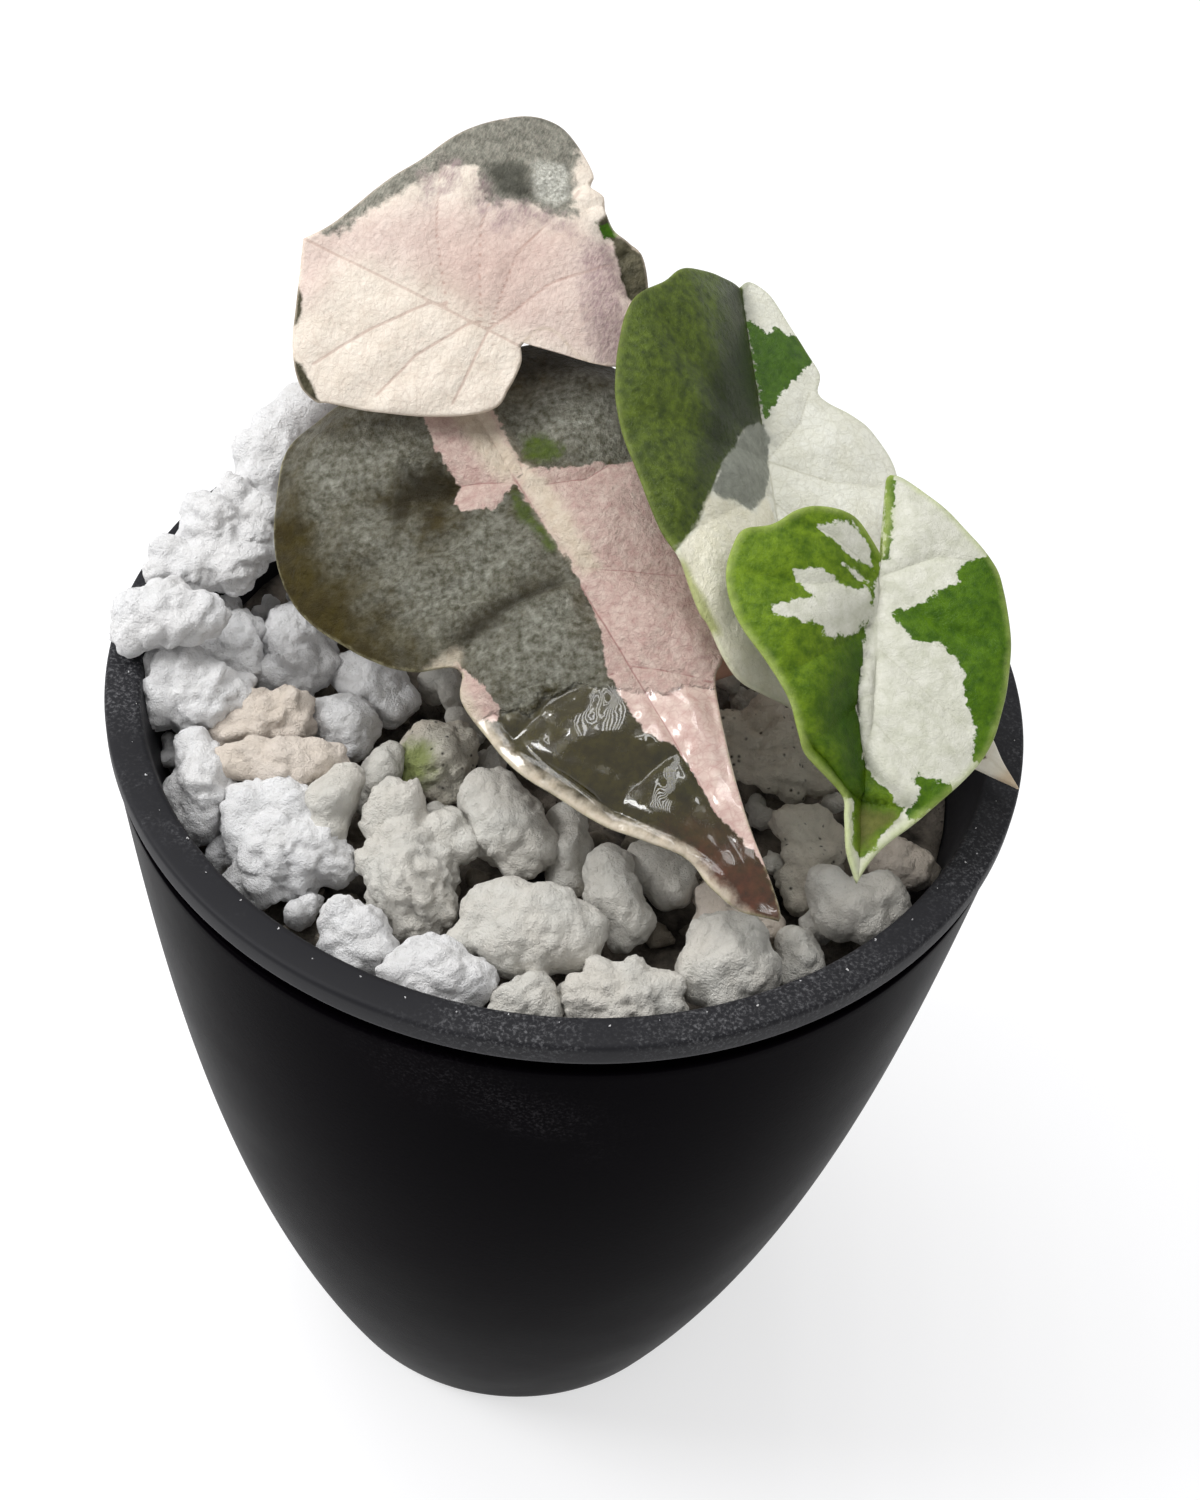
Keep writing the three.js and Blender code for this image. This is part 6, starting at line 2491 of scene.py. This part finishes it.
                ((-14, -0.6), (-3, 0.2), (2, -0.8), (10.5, -1.5), (14.5, -1.8), (20, -0.5),
                 (23, 2), (25, 4.5), (30, 2), (40, 0), (40, 18), (-14, 18)),
                ((-3.5, -8), (-4.5, -6), (-5, -4), (-3, -2), (-1, -1), (-1, -3.5),
                 (-2.5, -6.5)),
                ((2, -10.5), (1, -8), (1.5, -6), (2.5, -5), (2.5, -3), (2, -1.5), (4.5, -1),
                 (5, -1.5), (7, -3), (8.5, -6.5), (7.5, -7), (7.5, -12.5), (6.5, -12.5),
                 (5, -9.5), (4.5, -8), (3.5, -9.5)),
                ((0, -5), (0, -3.5), (1, -1.5), (1.5, -2.5), (0.5, -4)),
                ((24, -4), (25, -1.3), (30, -1.2), (31, 0), (30, 1.5), (28, 2.5), (26.5, 4.8),
                 (36, 2), (36, -4)),
            ),
            Field.DARK: (
                ((4, 1.5), (3.5, 3), (1, 6.5), (0, 8.5), (-1, 8), (-2.5, 9), (-4, 12),
                 (-2, 16), (10, 17), (20, 13), (19.5, 10.5), (16, 11), (13, 9.5), (9.5, 9),
                 (8, 7.5), (7, 6), (7.5, 4.5), (7, 3.5), (5, 2)),
                ((22, 4.5), (21.5, 5.5), (22.5, 9), (24, 9), (26.5, 5), (25.5, 4.8),
                 (23.5, 5.5)),
                ((-13, 0.2), (-12.5, 1.1), (-6.5, 1.1), (-2, 1.1), (-2, 0.4)),
            ),
            Field.TIP: (((24.8, -1.2), (25, 4.5), (26.5, 4.5), (28, 2.5), (30, 1.5), (31, 0),
                         (30, -1)),),
        },
        veins=(((0, 0), (-3, -6), (-4, -11)), ((0, 0), (3, -8), (3, -15)),
               ((5, 0), (10, -6), (13, -10)), ((13, 0), (18, -5), (20, -7)),
               ((0, 0), (-3, 6), (-3, 10)), ((1, 0), (5, 7), (6, 12)),
               ((8, 0), (13, 6), (16, 10)), ((16, 0), (21, 5), (23, 7))),
        creases=(
            Crease(((2.5, -0.3), (7.8, -1), (11.7, -1.5), (14.8, -1.4), (18.8, -0.6),
                    (21.3, 0.8), (23.3, 2.7), (25.5, 6.5)), 1.5, 0.4, 4.0),
            Crease(((19, -8.5), (21.3, -4.9), (22.7, -3.2), (24, -1.3), (24.5, 1.8),
                    (24.8, 4.8), (25.5, 7)), 1.1, 0.3, 7.0),
        ),
        swell=0.5, groove=0.3, ruffle=0.3,
    ),
    Blade(
        "small_white", Slot.SMALL_WHITE, (39.5, -2.5, 125.0), -48.0, 4.0, 10.0, 16.0,
        left=((-0.5, 3), (3.5, 3), (8.5, 2.5), (12.5, 1)),
        right=((-1, -2), (3, -2.5), (8, -3), (12.5, -1.5)),
        finish=SMALL_WHITE_SKIN, sinus=-1.0, arch=0.05,
        patches={
            Field.DARK: (((10.2, -0.6), (10.9, -0.8), (11.1, -0.2), (10.5, 0.1)),),
            Field.TIP: (((13.5, -3), (13.5, 3), (17, 3), (17, -3)),),
        },
        swell=0.15, groove=0.2, ruffle=0.15, rows=70, columns=12,
    ),
)


@dataclass(frozen=True)
class Plant:
    """Corm, roots, petioles and blades."""

    crown: Point3 = (4.0, 9.0, 110.0)
    corm_radius: float = 6.0
    corm_height: float = 15.0
    petiole_base: float = 1.7
    petiole_tip: float = 1.1
    starts: dict[str, Point2] = field(default_factory=lambda: {
        "pink": (-2.0, 3.2),
        "copper": (-3.6, -1.2),
        "dark_green": (2.2, 3.2),
        "bright_green": (0.6, -4.2),
        "small_white": (4.2, 0.0),
    })
    bends: dict[str, tuple[Point3, ...]] = field(default_factory=lambda: {
        "pink": ((-5.5, 25.0, 125.0), (-13.0, 29.5, 142.5)),
        "copper": ((-1.0, 8.0, 122.0), (-7.0, 13.0, 134.5)),
        "dark_green": ((12.0, 17.0, 124.0), (17.5, 18.5, 137.0)),
        "bright_green": ((18.0, 4.5, 120.0), (35.0, 4.0, 128.0), (34.5, 1.5, 135.5)),
        "small_white": ((20.0, 14.0, 115.0), (35.0, 3.0, 118.5), (39.5, -1.5, 121.0)),
    })

    CORM_FINISH = FibreFinish("corm_fibre", "8A6444", "4A3020", 0.85, 420.0, 0.35)
    ROOT_FINISH = FibreFinish("root_skin", "E6DDC8", "C8B998", 0.7, 500.0, 0.1)
    STALK_FINISH = FibreFinish("petiole_skin", "D9AE98", "B98470", 0.45, 300.0, 0.04, 0.3)

    def build(self, frame: dict, effects: Effects) -> None:
        """Makes the plant.

        Args:
            effects: The shared node groups.
        """
        self._corm(effects)
        root = self.ROOT_FINISH.build(effects)
        for node in ("root_1", "root_2", "root_3"):
            mesh = frame["nodes"][node].data
            mesh.materials.clear()
            mesh.materials.append(root)
        skin = self.STALK_FINISH.build(effects)
        for blade in BLADES:
            self._stalk(blade, skin)
            blade.build(effects)

    def _corm(self, effects: Effects) -> None:
        """Makes the corm, ringed by old leaf scars."""
        x, y, top = self.crown
        half = self.corm_height / 2
        profile = [(self.corm_radius * math.cos(angle), half * math.sin(angle))
                   for angle in np.linspace(-math.pi / 2, math.pi / 2, 40)]
        profile = [(radius + 0.25 * math.sin(height * 2.6) * (radius > 0.5), height)
                   for radius, height in profile]
        profile[0], profile[-1] = (0.0, -half), (0.0, half)
        made = lathe("corm_body", profile, 64, self.CORM_FINISH.build(effects))
        for vertex in made.data.vertices:
            fibre = noise.noise((vertex.co.x / MM, vertex.co.y / MM, vertex.co.z / MM / 6))
            vertex.co *= 1 + 0.03 * fibre
            vertex.co += Vector((x, y, top - half)) * MM
        hand_over(made, Slot.CORM, "corm")

    def _stalk(self, blade: Blade, skin: bpy.types.Material) -> None:
        """Makes the petiole of one blade.

        Args:
            blade: The blade.
            skin: The material.
        """
        dx, dy = self.starts[blade.name]
        inner = max(math.hypot(dx, dy) - self.petiole_base, 0)
        fall = self.corm_height / 2 * (1 - math.sqrt(1 - (inner / self.corm_radius) ** 2))
        foot = (self.crown[0] + dx, self.crown[1] + dy, self.crown[2] - fall - 0.6)
        head = np.array(blade.junction) - blade.axes()[2] * 0.45
        stem = Stem(f"stalk_{blade.name}", f"petiole_{blade.name}",
                    (foot, *self.bends[blade.name], tuple(head)), self.petiole_base,
                    self.petiole_tip, 0.35)
        stem.build(skin, Slot.PETIOLE)


def clear_scene() -> None:
    """Removes what Blender starts with."""
    for item in list(bpy.data.objects):
        bpy.data.objects.remove(item)


def main() -> None:
    """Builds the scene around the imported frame."""
    logging.basicConfig(level=logging.INFO, format="%(message)s")
    clear_scene()
    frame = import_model()
    View().build()
    Studio().build()
    effects = Effects()
    OuterPot().build(effects)
    LinerPot().build(effects)
    Perlite().build(frame, effects)
    Plant().build(frame, effects)
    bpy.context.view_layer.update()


if __name__ == "__main__":
    main()
